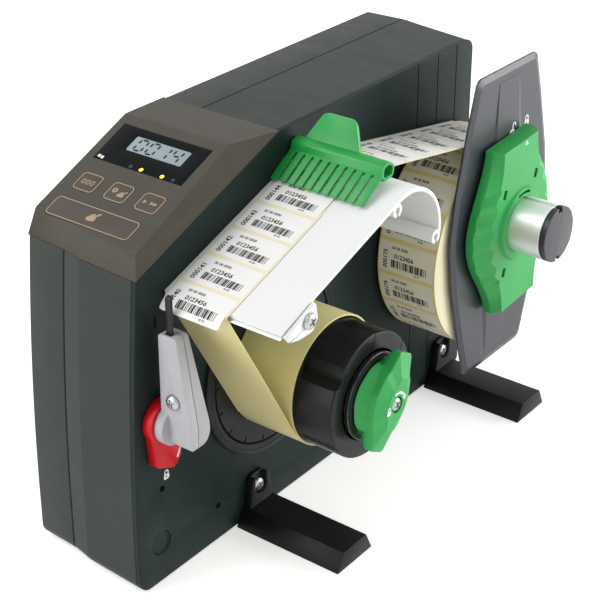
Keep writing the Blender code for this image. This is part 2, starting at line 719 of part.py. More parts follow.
def make_left_cover():
    """The closed end shell on the left, with its chamfered rim."""
    stations = (
        (COVER_SEAM_X, SEAM_INSET, WALL_LENGTH + SEAM_REAR, 0.0),
        (EDGE_X, LEFT_INSET, WALL_LENGTH + LEFT_REAR, 0.0),
        (BODY_WIDTH, LEFT_INSET + EDGE_CHAMFER, WALL_LENGTH + LEFT_REAR - EDGE_CHAMFER, EDGE_CHAMFER),
    )
    sections = [section(body_outline(i, r, s), -x) for x, i, r, s in stations]
    cover = loft("left_cover", sections, "housing", capped=False)
    shape = bmesh.new()
    shape.from_mesh(cover.data)
    rim = [v for v in shape.verts if abs(v.co.x + BODY_WIDTH) < MERGE]
    shape.verts.ensure_lookup_table()
    shape.faces.new(sorted(rim, key=lambda v: v.index))
    bmesh.ops.recalc_face_normals(shape, faces=shape.faces)
    shape.to_mesh(cover.data)
    shape.free()
    thicken(cover, SHELL)
    combine(cover, seam_trim("left_cover_trim", COVER_SEAM_X + FIT, 1))


# Control panel

PANEL_SLOPE = math.atan2(PANEL_RISE, PANEL_CREST_Y - PANEL_BASE_Y)
PANEL_BASE_Z = BODY_TOP - PANEL_RISE


def panel_point(x, along, lift=0.0):
    """A point of the sloping face: across, up the slope from its base line, and off the face."""
    y = PANEL_BASE_Y + along * math.cos(PANEL_SLOPE) - lift * math.sin(PANEL_SLOPE)
    z = PANEL_BASE_Z + along * math.sin(PANEL_SLOPE) + lift * math.cos(PANEL_SLOPE)
    return (x, y, z)


def panel_profile(inset):
    """Side view of the cap from the seam's front, over lip and crest, to the seam's back."""
    seam_front = FRONT_Y + FRONT_BOW + inset
    lip = panel_point(0.0, -PANEL_LIP_SETBACK)
    shift = inset * (1.0 - (SEAM_BACK_Y - lip[1]) / SEAM_BACK_Y)
    corners = [
        (seam_front, SEAM_FRONT_Z, 0.0),
        (lip[1] + inset + shift, lip[2] + inset * math.tan(PANEL_SLOPE), PANEL_LIP_R),
        (PANEL_CREST_Y, BODY_TOP, PANEL_CREST_R),
        (SEAM_BACK_Y, BODY_TOP, 0.0),
    ]
    return rounded(corners)


def panel_cut(name, size, centre, top, depth, rounding):
    """A tool that sinks a rounded rectangle into the sloping face."""
    place = panel_point(*centre, top - depth)
    return outline_solid(name, [block_outline(*size, rounding)], depth, location=place,
                         rotation=(PANEL_SLOPE, 0.0, 0.0))


def make_control_panel():
    """The cap over the slanted front of the housing, hollow below, with its display and key pockets."""
    stations = ((0.0, 0.0), (FACET_X, FACET_INSET), (COVER_SEAM_X, SEAM_INSET), (BODY_WIDTH, LEFT_INSET))
    lift = FIT / math.cos(math.atan2(BODY_TOP - SEAM_FRONT_Z, SEAM_BACK_Y))
    sections = [[(-x, y, z + lift) for y, z in panel_profile(inset)] for x, inset in stations]
    panel = loft("control_panel", sections, "panel")
    combine(panel, panel_flank(lift))
    combine(panel, panel_cavity())
    window = (WINDOW_SIZE[0] + FIT * 2, WINDOW_SIZE[1] + FIT * 2)
    sink = WINDOW_THICKNESS + WINDOW_SINK + FIT
    combine(panel, panel_cut("window_pocket", window, WINDOW_CENTRE, OVERRUN, sink + OVERRUN, 0.0))
    lcd = (LCD_SIZE[0] + FIT * 2, LCD_SIZE[1] + FIT * 2)
    combine(panel, panel_cut("lcd_opening", lcd, LCD_CENTRE, OVERRUN, BOARD_DEPTH + OVERRUN, 0.0))
    depth = KEY_THICKNESS + KEY_TRAVEL + OVERRUN
    for name, (centre, size) in KEYS.items():
        pocket = (size[0] + FIT * 2, size[1] + FIT * 2)
        combine(panel, panel_cut(f"{name}_pocket", pocket, centre, OVERRUN, depth, KEY_ROUNDING + FIT))


def panel_flank(lift):
    """The slanted plane that takes off the panel's right edge, from the seam up to the sloping face."""
    seam_front = Vector((-FIT, FRONT_Y + FRONT_BOW, SEAM_FRONT_Z + lift))
    seam_back = Vector((-FIT, SEAM_BACK_Y, BODY_TOP + lift))
    inner = Vector(panel_point(-PANEL_CHAMFER, (PANEL_CREST_Y - PANEL_BASE_Y) / 2))
    outward = (seam_back - seam_front).cross(inner - seam_front).normalized()
    if outward.x < 0.0:
        outward.negate()
    place = (seam_front + seam_back) / 2 + outward * PANEL_CREST_Y
    size = (PANEL_CREST_Y * 4, PANEL_CREST_Y * 4, PANEL_CREST_Y * 2)
    return block("panel_flank", size, location=place, rotation=outward.to_track_quat("Z", "Y").to_euler())


def panel_cavity():
    """The hollow under the panel's skin, open toward the housing."""
    low = panel_point(0.0, OVERRUN, -PANEL_SKIN)
    high = panel_point(0.0, (PANEL_CREST_Y - PANEL_BASE_Y) / math.cos(PANEL_SLOPE), -PANEL_SKIN)
    back = (SEAM_BACK_Y - PANEL_BACK_WEB, high[2])
    corners = [(low[1], low[2]), (high[1], high[2]), back, (back[0], SEAM_FRONT_Z), (low[1], SEAM_FRONT_Z - OVERRUN)]
    width = BODY_WIDTH - PANEL_SKIN - PANEL_SIDE - PANEL_SKIN
    return outline_solid("panel_cavity", [corners], width, location=(PANEL_SKIN - BODY_WIDTH, 0.0, 0.0))


def make_display():
    """The dark window, the display that fills its opening, and the board below them."""
    tilt = (PANEL_SLOPE, 0.0, 0.0)
    opening = (LCD_SIZE[0] + FIT * 2, LCD_SIZE[1] + FIT * 2)
    offset = (LCD_CENTRE[0] - WINDOW_CENTRE[0], LCD_CENTRE[1] - WINDOW_CENTRE[1])
    aperture = [(u + offset[0], v + offset[1]) for u, v in block_outline(*opening, 0.0)]
    place = panel_point(*WINDOW_CENTRE, -WINDOW_SINK - WINDOW_THICKNESS)
    outline_solid("display_window", [block_outline(*WINDOW_SIZE, 0.0), aperture], WINDOW_THICKNESS, "window",
                  place, tilt)
    place = panel_point(*LCD_CENTRE, -LCD_SINK - LCD_THICKNESS / 2)
    block("lcd_display", (*LCD_SIZE, LCD_THICKNESS), "lcd", place, tilt)
    place = panel_point(*BOARD_CENTRE, -BOARD_DEPTH - BOARD_THICKNESS / 2)
    board = block("control_board", (*BOARD_SIZE, BOARD_THICKNESS), "circuit", place, tilt)
    post = BOARD_DEPTH - PANEL_SKIN - FIT
    for i, (a, b) in enumerate(((-1, -1), (1, -1), (-1, 1), (1, 1))):
        spot = (BOARD_CENTRE[0] + a * (BOARD_SIZE[0] / 2 - BOARD_POST_R * 2),
                BOARD_CENTRE[1] + b * (BOARD_SIZE[1] / 2 - BOARD_POST_R * 2))
        stud = turned(f"board_post_{i}", ring_profile(BOARD_POST_R, 0.0, -BOARD_THICKNESS / 2, post),
                      location=panel_point(*spot, -BOARD_DEPTH), rotation=tilt, steps=SCREW_STEPS)
        combine(board, stud, "UNION")


def make_keys():
    """Four membrane keys, each sliding square to the sloping face."""
    for name, (centre, size) in KEYS.items():
        place = panel_point(*centre, KEY_PROUD - KEY_THICKNESS)
        outline_solid(name, [block_outline(*size, KEY_ROUNDING)], KEY_THICKNESS, "key", place,
                      (PANEL_SLOPE, 0.0, 0.0))


# Dispensing plate and what runs over it

ARCH_START = math.pi / 2 + PLATE_TILT
FACE_DIRECTION = (math.cos(PLATE_TILT), math.sin(PLATE_TILT))


def plate_face(y, drop=0.0):
    """A point below the plate's upper face, measured square to it."""
    reach = (y - ARCH_Y) / math.cos(PLATE_TILT) + ARCH_R * math.tan(PLATE_TILT)
    lift = ARCH_R - drop
    return (ARCH_Y + reach * FACE_DIRECTION[0] - lift * FACE_DIRECTION[1],
            ARCH_Z + reach * FACE_DIRECTION[1] + lift * FACE_DIRECTION[0])


def ribbon(inner, outer):
    """A closed outline between two open paths with the same ends."""
    return inner + outer[::-1]


def make_dispensing_plate():
    """The extruded plate with its arched end and two screw ports."""
    centre = (ARCH_Y, ARCH_Z)
    top = [plate_face(PLATE_FRONT_Y)] + arc(centre, ARCH_R, ARCH_START, ARCH_END, ARCH_STEPS)
    low = [plate_face(PLATE_FRONT_Y, PLATE_THICKNESS)]
    low += arc(centre, ARCH_R - PLATE_THICKNESS, ARCH_START, ARCH_END, ARCH_STEPS)
    width = PLATE_WIDTH - FIT
    plate = outline_solid("dispensing_plate", [ribbon(top, low)], width, "white", (FIT, 0.0, 0.0))
    end = ARCH_R - PORT_R
    ports = (
        plate_face(PORT_Y, PLATE_THICKNESS / 2 + PORT_R),
        (ARCH_Y + end * math.cos(ARCH_END), ARCH_Z + end * math.sin(ARCH_END) - PORT_R / 2),
    )
    for i, (y, z) in enumerate(ports):
        stub = turned(f"port_{i}", ring_profile(PORT_R, 0.0, FIT, PLATE_WIDTH), location=(0.0, y, z),
                      steps=SCREW_STEPS)
        combine(plate, stub, "UNION")
        hole(plate, f"port_bore_{i}", PORT_BORE, -OVERRUN, PLATE_WIDTH + OVERRUN, (y, z), steps=SCREW_STEPS)
        mouth = block(f"port_mouth_{i}", (PLATE_WIDTH * 2, PORT_MOUTH, PORT_R * 2), location=(0.0, y, z - PORT_R))
        combine(plate, mouth)


def make_peel_edge():
    """The thin nose under the plate's front that the liner turns round, with its bracket and screw."""
    gap = PLATE_THICKNESS + FIT
    nose = PEEL_THICKNESS / 2
    tip = plate_face(PEEL_Y + nose, gap + nose)
    half_turn = arc(tip, nose, ARCH_START, ARCH_START + math.pi, 6)
    outline = half_turn + [plate_face(PEEL_BACK_Y, gap + PEEL_THICKNESS), plate_face(PEEL_BACK_Y, gap)]
    width = PLATE_WIDTH - FIT * 2
    peel = outline_solid("peel_plate", [outline], width, "aluminium", (FIT, 0.0, 0.0))
    boss = plate_face(BOSS_Y, gap + PEEL_THICKNESS / 2 + BOSS_R)
    stub = turned("peel_boss", ring_profile(BOSS_R, 0.0, FIT, PLATE_WIDTH - FIT), location=(0.0, *boss),
                  steps=SCREW_STEPS)
    combine(peel, stub, "UNION")
    length = EAR_SCREW_R * 2
    start = PLATE_WIDTH - length
    hole(peel, "peel_boss_bore", SCREW_SHANK_R + FIT, start, PLATE_WIDTH + OVERRUN, boss, steps=SCREW_STEPS)
    ear_points = [
        (*plate_face(PLATE_FRONT_Y + BOSS_R / 2, BOSS_R * 2), BOSS_R / 2),
        (*plate_face(PLATE_FRONT_Y + FIT, PLATE_THICKNESS), 0.0),
        (*plate_face(PEEL_BACK_Y - FIT, PLATE_THICKNESS / 2), BOSS_R / 2),
        (boss[0] + BOSS_R * 2, boss[1] - BOSS_R / 2, BOSS_R / 2),
        (boss[0] + BOSS_R, boss[1] - BOSS_R * 2, BOSS_R),
        (boss[0] - BOSS_R * 2, boss[1] - BOSS_R * 2, BOSS_R),
    ]
    ear = outline_solid("peel_bracket", [rounded(ear_points)], EAR_THICKNESS, "white", (PLATE_WIDTH + FIT, 0.0, 0.0))
    seat = PLATE_WIDTH + FIT + EAR_THICKNESS
    hole(ear, "ear_hole", SCREW_SHANK_R + FIT, PLATE_WIDTH - OVERRUN, seat + OVERRUN, boss, steps=SCREW_STEPS)
    make_screw("peel_bracket_screw", seat + FIT, EAR_SCREW_R, EAR_SCREW_HEAD, length, boss)


def make_screw(name, seat, radius, head, length, centre=(0.0, 0.0), parent=None):
    """A pan head screw along X whose head sits on a seat."""
    profile = [
        (0.0, seat + head), (radius * SCREW_TOP_SHARE, seat + head), (radius, seat + head / 2), (radius, seat),
        (SCREW_SHANK_R, seat), (SCREW_SHANK_R, seat - length), (0.0, seat - length),
    ]
    turned(name, profile, "steel", (0.0, *centre), parent=parent, steps=SCREW_STEPS)


def tangent(first, first_radius, second, second_radius, side):
    """Where a straight line touches two circles: over the top for side 1, along the bottom for side -1."""
    reach = math.hypot(second[0] - first[0], second[1] - first[1])
    bearing = math.atan2(second[1] - first[1], second[0] - first[0])
    touch = bearing + side * math.acos((first_radius - second_radius) / reach)
    away = (math.cos(touch), math.sin(touch))
    ends = ((first, first_radius), (second, second_radius))
    return [(c[0] + r * away[0], c[1] + r * away[1]) for c, r in ends], touch


def strip_path(lift):
    """The strip's path from the supply roll, over the arch and down the plate to the peel edge."""
    roll = (SPINDLE_Y, SPINDLE_Z - ROLL_DROP)
    (_, start), leave = tangent((ARCH_Y, ARCH_Z), ARCH_R + lift, roll, ROLL_R + lift, 1)
    path = [start] + arc((ARCH_Y, ARCH_Z), ARCH_R + lift, leave, ARCH_START, 6)
    point = plate_face(PEEL_Y, -lift)
    path.append(point)
    for share in DROOP_SHARES:
        droop = PLATE_TILT + LABEL_DROOP * share
        step = LABEL_OVERHANG / 2
        point = (point[0] - step * math.cos(droop), point[1] - step * math.sin(droop))
        path.append(point)
    return path


def make_label_strip():
    """The labels on their liner, from the roll to the peel edge, with the label that is being dispensed."""
    outline = ribbon(strip_path(FIT), strip_path(FIT + STRIP_THICKNESS))
    outline_solid("label_strip", [outline], STRIP_WIDTH, "label", (STRIP_X, 0.0, 0.0))


def make_liner():
    """The liner web and the turns already wound on the drum."""
    inner = DRUM_R + FIT
    outer = inner + WOUND_LINER
    nose = PEEL_THICKNESS / 2
    tip = plate_face(PEEL_Y + nose, PLATE_THICKNESS + FIT + nose)
    paths = []
    for lift in (FIT, FIT + LINER_THICKNESS):
        ends, _ = tangent(tip, nose + lift, (DRUM_Y, DRUM_Z), outer + lift, -1)
        paths.append(ends)
    outline_solid("liner_web", [ribbon(*paths)], STRIP_WIDTH, "liner", (STRIP_X, 0.0, 0.0))
    turned("liner_winding", ring_profile(outer, inner, STRIP_X, STRIP_X + STRIP_WIDTH), "liner", parent=DRUM_AXIS,
           steps=ROUND_STEPS)


# Label comb

def make_comb():
    """The hinged comb that holds the strip on the plate: a hollow bar, eleven teeth and a lifting tab."""
    bar = rounded(COMB_BAR)
    bore = rounded(COMB_BORE)
    comb = outline_solid("label_comb", [bar, bore], COMB_WIDTH, "green", (COMB_X, 0.0, 0.0), parent=COMB_AXIS)
    root = TOOTH_ROOT
    reach = math.hypot(TOOTH_TIP_Y - root[0], TOOTH_TIP_Z - root[1])
    slope = math.atan2(TOOTH_TIP_Z - root[1], TOOTH_TIP_Y - root[0])
    tooth = rounded([
        (0.0, 0.0, 0.0), (reach, 0.0, TOOTH_THICKNESS / 3), (reach, -TOOTH_THICKNESS, TOOTH_THICKNESS / 3),
        (0.0, -TOOTH_THICKNESS, 0.0),
    ], 2)
    points = [(u + root[0], v + root[1]) for u, v in turn_points(tooth, slope)]
    teeth = outline_solid("comb_teeth", [points], COMB_WIDTH, location=(COMB_X, 0.0, 0.0), parent=COMB_AXIS)
    combine(comb, teeth, "UNION")
    combine(comb, comb_slots(reach, slope, root))
    combine(comb, comb_tab(), "UNION")


def comb_slots(reach, slope, root):
    """The gaps between the comb's teeth."""
    pitch = (COMB_WIDTH + COMB_SLOT) / (COMB_SLOTS + 1)
    length = reach - TOOTH_THICKNESS
    shape = bmesh.new()
    size = Matrix.Diagonal((COMB_SLOT, length, TOOTH_THICKNESS * 4, 1.0))
    turn = Matrix.Rotation(slope, 4, "X")
    for i in range(COMB_SLOTS):
        x = COMB_X + pitch * (i + 1) - COMB_SLOT / 2
        middle = reach - length / 2 + OVERRUN
        spot = Vector((x, root[0] + middle * math.cos(slope), root[1] + middle * math.sin(slope)))
        bmesh.ops.create_cube(shape, size=1.0, matrix=Matrix.Translation(spot) @ turn @ size)
    mesh = bpy.data.meshes.new("comb_slots")
    shape.to_mesh(mesh)
    shape.free()
    return add_object("comb_slots", mesh, None, (0, 0, 0), TOP_VIEW, COMB_AXIS)


def comb_tab():
    """The tab by which the comb is lifted."""
    corners = [
        (TAB_BASE[0], 0.0, 0.0), (TAB_BASE[1], 0.0, 0.0),
        (TAB_TOP[1], TAB_HEIGHT, TAB_CORNER), (TAB_TOP[0], TAB_HEIGHT, TAB_CORNER),
    ]
    place = (0.0, TAB_SET, TAB_THICKNESS)
    return outline_solid("comb_tab", [rounded(corners)], TAB_THICKNESS, location=place,
                         rotation=(math.pi / 2 - TAB_LEAN, 0.0, 0.0), parent=COMB_AXIS)


def make_comb_pin():
    """The steel pin in the wall that the comb's bar turns on."""
    start = -WALL_THICKNESS - FIT
    profile = [
        (0.0, COMB_PIN_REACH), (COMB_PIN_R, COMB_PIN_REACH), (COMB_PIN_R, start), (COMB_PIN_HEAD_R, start),
        (COMB_PIN_HEAD_R, start - COMB_PIN_R), (0.0, start - COMB_PIN_R),
    ]
    turned("comb_pin", profile, "steel", parent=COMB_AXIS, steps=SMALL_STEPS)


# Label sensor

def sensor_body(name, y_start, y_end, finish=None):
    """A slice of the sensor's wedge, between two planes square to Y."""
    front = rounded([
        (SENSOR_X, -SENSOR_INNER_DROP, 0.0), (SENSOR_X + SENSOR_FOOT_WIDTH, -SENSOR_OUTER_DROP, SENSOR_FOOT_R / 3),
        (SENSOR_X + SENSOR_FOOT_WIDTH, SENSOR_FOOT_R / 2, SENSOR_FOOT_R / 3),
        (SENSOR_X + SENSOR_HEAD_WIDTH, SENSOR_TOP, SENSOR_FOOT_R / 5), (SENSOR_X, SENSOR_TOP, SENSOR_FOOT_R / 5),
    ])
    depth = y_end - y_start
    slab = outline_solid(name, [front], depth, finish, (0.0, y_end, 0.0), FRONT_VIEW, SENSOR_AXIS)
    return combine(slab, sensor_side(name), "INTERSECT")


def sensor_side(name):
    """Side view of the sensor: round about its pivot below, narrow at the top."""
    foot = arc((0.0, 0.0), SENSOR_FOOT_R, math.pi, math.pi * 2, SMALL_STEPS)
    foot[0] = (-SENSOR_FRONT, -SENSOR_HEEL)
    foot = [p for p in foot if p[0] >= -SENSOR_FRONT]
    outline = foot + [(SENSOR_HEAD_BACK, SENSOR_TOP), (-SENSOR_FRONT, SENSOR_TOP)]
    width = SENSOR_FOOT_WIDTH + OVERRUN * 2
    return outline_solid(f"{name}_side", [outline], width, location=(SENSOR_X - OVERRUN, 0.0, 0.0), parent=SENSOR_AXIS)


def make_sensor():
    """Two clam shells with a round boss on the clamp, held by one screw, and the pocket of the feeler."""
    front = sensor_body("sensor_front_shell", -SENSOR_FRONT - OVERRUN, -SENSOR_PART / 2, "sensor")
    lobe = turned("sensor_lobe", ring_profile(LOBE_R, 0.0, CLAMP_X + CLAMP_THICKNESS + FIT, SENSOR_X + LOBE_DEPTH),
                  parent=SENSOR_AXIS, steps=ROUND_STEPS * 2 // 3)
    combine(front, lobe, "UNION")
    rear = sensor_body("sensor_rear_shell", SENSOR_PART / 2, SENSOR_FOOT_R + OVERRUN, "sensor")
    room = turned("lobe_room", ring_profile(LOBE_R + FIT, 0.0, 0.0, SENSOR_X + LOBE_DEPTH + FIT), parent=SENSOR_AXIS,
                  steps=ROUND_STEPS * 2 // 3)
    combine(rear, room)
    bore = STUD_REACH + FIT
    width = FEELER_WIDTH + FIT * 2
    swing = FEELER_THICKNESS + FEELER_PLAY * 2 + FIT * 2
    depth = SENSOR_TOP - FEELER_ROOT + OVERRUN
    pocket_place = (FEELER_X + FEELER_WIDTH / 2, FEELER_Y, FEELER_ROOT - FIT + depth / 2)
    for shell in (front, rear):
        hole(shell, f"{shell.name}_bore", STUD_R + FIT, 0.0, bore, parent=SENSOR_AXIS)
        pocket = block(f"{shell.name}_pocket", (width, swing, depth), location=pocket_place, parent=SENSOR_AXIS)
        combine(shell, pocket)
        place = (SENSOR_X + SENSOR_SCREW_X, 0.0, SENSOR_SCREW_Z)
        reach = (-SENSOR_SCREW_LENGTH, SENSOR_SCREW_LENGTH)
        drill = turned(f"{shell.name}_screw_hole", ring_profile(SCREW_SHANK_R + FIT, 0.0, *reach), location=place,
                       rotation=FRONT_VIEW, parent=SENSOR_AXIS, steps=SCREW_STEPS)
        combine(shell, drill)
    head = SENSOR_SCREW_R / 2
    seat = SENSOR_FRONT + FIT
    profile = [
        (0.0, seat + head), (SENSOR_SCREW_R * SCREW_TOP_SHARE, seat + head), (SENSOR_SCREW_R, seat + head / 2),
        (SENSOR_SCREW_R, seat), (SCREW_SHANK_R, seat), (SCREW_SHANK_R, seat - SENSOR_SCREW_LENGTH),
        (0.0, seat - SENSOR_SCREW_LENGTH),
    ]
    turned("sensor_screw", profile, "steel", (SENSOR_X + SENSOR_SCREW_X, 0.0, SENSOR_SCREW_Z), FRONT_VIEW,
           SENSOR_AXIS, SCREW_STEPS)


def make_feeler():
    """The flat spring arm that stands against the label's leading edge."""
    half = FEELER_THICKNESS / 2
    spine = [(0.0, 0.0), (-FEELER_LEAN / 2, SENSOR_TOP - FEELER_ROOT), (-FEELER_LEAN / 2, FEELER_TIP - FEELER_ROOT),
             (FEELER_HOOK - FEELER_LEAN / 2, FEELER_TIP - FEELER_ROOT + FEELER_HOOK)]
    outline = ribbon([(y - half, z) for y, z in spine], [(y + half, z) for y, z in spine])
    place = (FEELER_X, FEELER_Y, FEELER_ROOT)
    outline_solid("feeler_arm", [outline], FEELER_WIDTH, "black", place, parent=SENSOR_AXIS)


def make_clamp():
    """The red lever behind the sensor and the stud that both turn on."""
    tab = rounded([
        (-CLAMP_TAB_FRONT, -CLAMP_TAB_ROOT, 0.0), (CLAMP_TAB_REAR, -CLAMP_TAB_ROOT, 0.0),
        (CLAMP_HEEL, -CLAMP_SHOULDER, CLAMP_CORNER), (CLAMP_TIP, -CLAMP_REACH, CLAMP_CORNER),
        (-CLAMP_TOE, -CLAMP_SHOULDER, CLAMP_CORNER),
    ])
    end = CLAMP_X + CLAMP_THICKNESS
    ring = turned("clamp_lever", ring_profile(CLAMP_R, STUD_R + FIT, CLAMP_X, end), "red", parent=SENSOR_AXIS,
                  steps=ROUND_STEPS * 2 // 3)
    handle = outline_solid("clamp_tab", [tab], CLAMP_THICKNESS, location=(CLAMP_X, 0.0, 0.0), parent=SENSOR_AXIS)
    combine(ring, handle, "UNION")
    hole(ring, "clamp_bore", STUD_R + FIT, -OVERRUN, end + OVERRUN, parent=SENSOR_AXIS)
    start = -WALL_THICKNESS - FIT
    profile = [
        (0.0, STUD_REACH), (STUD_R, STUD_REACH), (STUD_R, start), (STUD_HEAD_R, start),
        (STUD_HEAD_R, start - STUD_HEAD), (0.0, start - STUD_HEAD),
    ]
    turned("sensor_stud", profile, "steel", parent=SENSOR_AXIS, steps=SMALL_STEPS)


# Rewinder

def make_rewinder_flange():
    """The notched disc behind the drum."""
    end = FLANGE_GAP + FLANGE_THICKNESS
    line = FLANGE_LINE_R
    profile = [
        (FLANGE_R - FLANGE_LINE, end), (FLANGE_R, end - FLANGE_LINE), (FLANGE_R, FLANGE_GAP),
        (SHAFT_R + FIT, FLANGE_GAP), (SHAFT_R + FIT, end), (line - FLANGE_LINE, end),
        (line - FLANGE_LINE, end - FLANGE_LINE), (line, end - FLANGE_LINE), (line, end),
    ]
    disc = turned("rewinder_flange", profile, "black", parent=DRUM_AXIS, steps=FINE_STEPS)
    shape = bmesh.new()
    for i in range(FLANGE_NOTCHES):
        turn = Matrix.Rotation(math.tau * i / FLANGE_NOTCHES + NOTCH_PHASE, 4, "X")
        middle = Matrix.Translation((end, line - (FLANGE_LINE + NOTCH_SIZE[0]) / 2, 0.0))
        size = Matrix.Diagonal((NOTCH_DEPTH * 2, *NOTCH_SIZE, 1.0))
        bmesh.ops.create_cube(shape, size=1.0, matrix=turn @ middle @ size)
    mesh = bpy.data.meshes.new("flange_notches")
    shape.to_mesh(mesh)
    shape.free()
    combine(disc, add_object("flange_notches", mesh, None, (0, 0, 0), TOP_VIEW, DRUM_AXIS))


def segment_block(name, width, reach_start, reach_end):
    """A box along the clamp segment's direction of travel, used on the drum and the segment."""
    length = reach_end - reach_start
    middle = (reach_start + reach_end) / 2
    place = ((DRUM_START + DRUM_END) / 2, middle * math.cos(SEGMENT_ANGLE), middle * math.sin(SEGMENT_ANGLE))
    size = ((DRUM_END - DRUM_START) * 2, length, width)
    return block(name, size, location=place, rotation=(SEGMENT_ANGLE, 0.0, 0.0), parent=DRUM_AXIS)


def make_drum():
    """The hollow winding drum, with a finger scallop and the gap that the clamp segment fills."""
    inner = DRUM_R - DRUM_WALL
    floor = DRUM_START + DRUM_WEB
    ceiling = DRUM_END - DRUM_WEB
    bore = SHAFT_R + FIT
    profile = [
        (DRUM_R, DRUM_END - DRUM_WALL / 4), (DRUM_R, DRUM_START), (bore, DRUM_START), (bore, floor), (inner, floor),
        (inner, ceiling), (DRUM_LIP_R, ceiling), (DRUM_LIP_R, DRUM_END), (DRUM_R - DRUM_WALL / 4, DRUM_END),
    ]
    drum = turned("rewinder_drum", profile, "black", parent=DRUM_AXIS, steps=FINE_STEPS)
    reach = DRUM_R + SCALLOP_R - SCALLOP_DEPTH
    centre = (reach * math.cos(SCALLOP_ANGLE), reach * math.sin(SCALLOP_ANGLE))
    hole(drum, "drum_scallop", SCALLOP_R, STRIP_X + STRIP_WIDTH + OVERRUN, DRUM_END + OVERRUN, centre, DRUM_AXIS)
    gap = SEGMENT_WIDTH + SEGMENT_GAP * 2
    shoulder = math.sqrt(SEGMENT_INNER_R ** 2 - (SEGMENT_WIDTH / 2) ** 2)
    inner_edge = shoulder - SEGMENT_TRAVEL - FIT
    combine(drum, segment_block("segment_gap", gap, inner_edge, DRUM_R + OVERRUN))
    combine(drum, drum_floor(), "UNION")


def drum_floor():
    """The drum's back web, restored under the clamp segment as its slide."""
    return turned("drum_floor", ring_profile(DRUM_R - DRUM_WALL / 2, SHAFT_R + FIT, DRUM_START,
                                             DRUM_START + DRUM_WEB / 2), parent=DRUM_AXIS, steps=FINE_STEPS)


def make_clamp_segment():
    """The sliding segment that grips the liner's end."""
    start = DRUM_START + DRUM_WEB / 2 + FIT
    segment = turned("clamp_segment", ring_profile(DRUM_R - SEGMENT_GAP, SEGMENT_INNER_R, start, DRUM_END), "black",
                     parent=DRUM_AXIS, steps=FINE_STEPS)
    block_tool = segment_block("segment_shape", SEGMENT_WIDTH, SEGMENT_INNER_R / 2, DRUM_R + OVERRUN)
    combine(segment, block_tool, "INTERSECT")


def make_hub_disc():
    """The steel disc in the drum's mouth."""
    start = DRUM_END + FIT
    turned("hub_disc", ring_profile(DISC_R, SHAFT_R + FIT, start, start + DISC_THICKNESS), "steel", parent=DRUM_AXIS)


def knob_outline(share):
    """The two-lobed grip, scaled toward its axis."""
    quarter = [
        (KNOB_LOBE_R, KNOB_LOBE_HALF, KNOB_LOBE_HALF / 3), (KNOB_WAIST, KNOB_NECK, KNOB_WAIST / 2),
        (KNOB_SHOULDER_Y, KNOB_SHOULDER_Y, KNOB_WAIST / 3), (0.0, KNOB_WAIST, KNOB_WAIST),
    ]
    left = [(-u, v, r) for u, v, r in quarter[-2::-1]]
    upper = quarter + left
    corners = upper + [(-u, -v, r) for u, v, r in upper]
    points = [(u * share, v * share) for u, v in rounded(corners)]
    return turn_points(points, KNOB_ANGLE)


def make_rewinder_knob():
    """The knob that releases the clamp segment, and the screw that holds it."""
    stations = (KNOB_START + KNOB_COLLAR, KNOB_SHOULDER, KNOB_FACE)
    sections = [section(knob_outline(share), x) for x, share in zip(stations, KNOB_SHARES)]
    knob = loft("rewinder_knob", sections, "green", parent=DRUM_AXIS)
    collar = turned("knob_collar", ring_profile(KNOB_COLLAR_R, 0.0, KNOB_START, KNOB_START + KNOB_COLLAR * 2),
                    parent=DRUM_AXIS)
    combine(knob, collar, "UNION")
    shaft_end = KNOB_FACE - KNOB_SCREW_HEAD * 3
    hole(knob, "knob_bore", SHAFT_R + FIT, KNOB_START - OVERRUN, shaft_end, parent=DRUM_AXIS)
    seat = KNOB_FACE - KNOB_SCREW_HEAD
    hole(knob, "knob_counterbore", KNOB_SCREW_R + FIT * 3, seat, KNOB_FACE + OVERRUN, parent=DRUM_AXIS)
    hole(knob, "knob_screw_hole", SCREW_SHANK_R + FIT, shaft_end - OVERRUN, seat + OVERRUN, parent=DRUM_AXIS,
         steps=SCREW_STEPS)
    make_screw("knob_screw", seat + FIT, KNOB_SCREW_R, KNOB_SCREW_HEAD, KNOB_SCREW_LENGTH, parent=DRUM_AXIS)
    make_rewinder_shaft(shaft_end - FIT)


def make_rewinder_shaft(end):
    """The shaft from the belt pulley to the knob, tapped for the knob's screw."""
    tap = SCREW_SHANK_R + FIT
    depth = end - KNOB_SCREW_LENGTH
    profile = [
        (SHAFT_R, end), (SHAFT_R, -SHAFT_TAIL), (0.0, -SHAFT_TAIL), (0.0, depth), (tap, depth), (tap, end),
    ]
    turned("rewinder_shaft", profile, "steel", parent=DRUM_AXIS, steps=SMALL_STEPS)


# Drive train

def make_bearings():
    """The bearing block on the wall's inner face and its two bearings."""
    start = -WALL_THICKNESS - FIT
    end = start - BEARING_BLOCK_LENGTH
    seat = BEARING_R + FIT
    width = BEARING_WIDTH + FIT
    profile = [
        (BEARING_RIM_R, start), (BEARING_RIM_R, start - SHELL), (BEARING_BLOCK_R, start - SHELL),
        (BEARING_BLOCK_R, end), (seat, end), (seat, end + width), (BEARING_THROAT_R, end + width), (BEARING_THROAT_R, start - width),
        (seat, start - width), (seat, start),
    ]
    turned("bearing_block", profile, "aluminium", parent=DRUM_AXIS)
    turned("wall_bearing", ring_profile(BEARING_R, SHAFT_R + FIT, start - BEARING_WIDTH, start), "steel",
           parent=DRUM_AXIS, steps=ROUND_STEPS * 2 // 3)
    turned("tail_bearing", ring_profile(BEARING_R, SHAFT_R + FIT, end, end + BEARING_WIDTH), "steel",
           parent=DRUM_AXIS, steps=ROUND_STEPS * 2 // 3)


def ring_outline(radius):
    """A circle about the axis as a list of points."""
    step = math.tau / SMALL_STEPS
    return arc((0.0, 0.0), radius, 0.0, math.tau - step, SMALL_STEPS - 1)


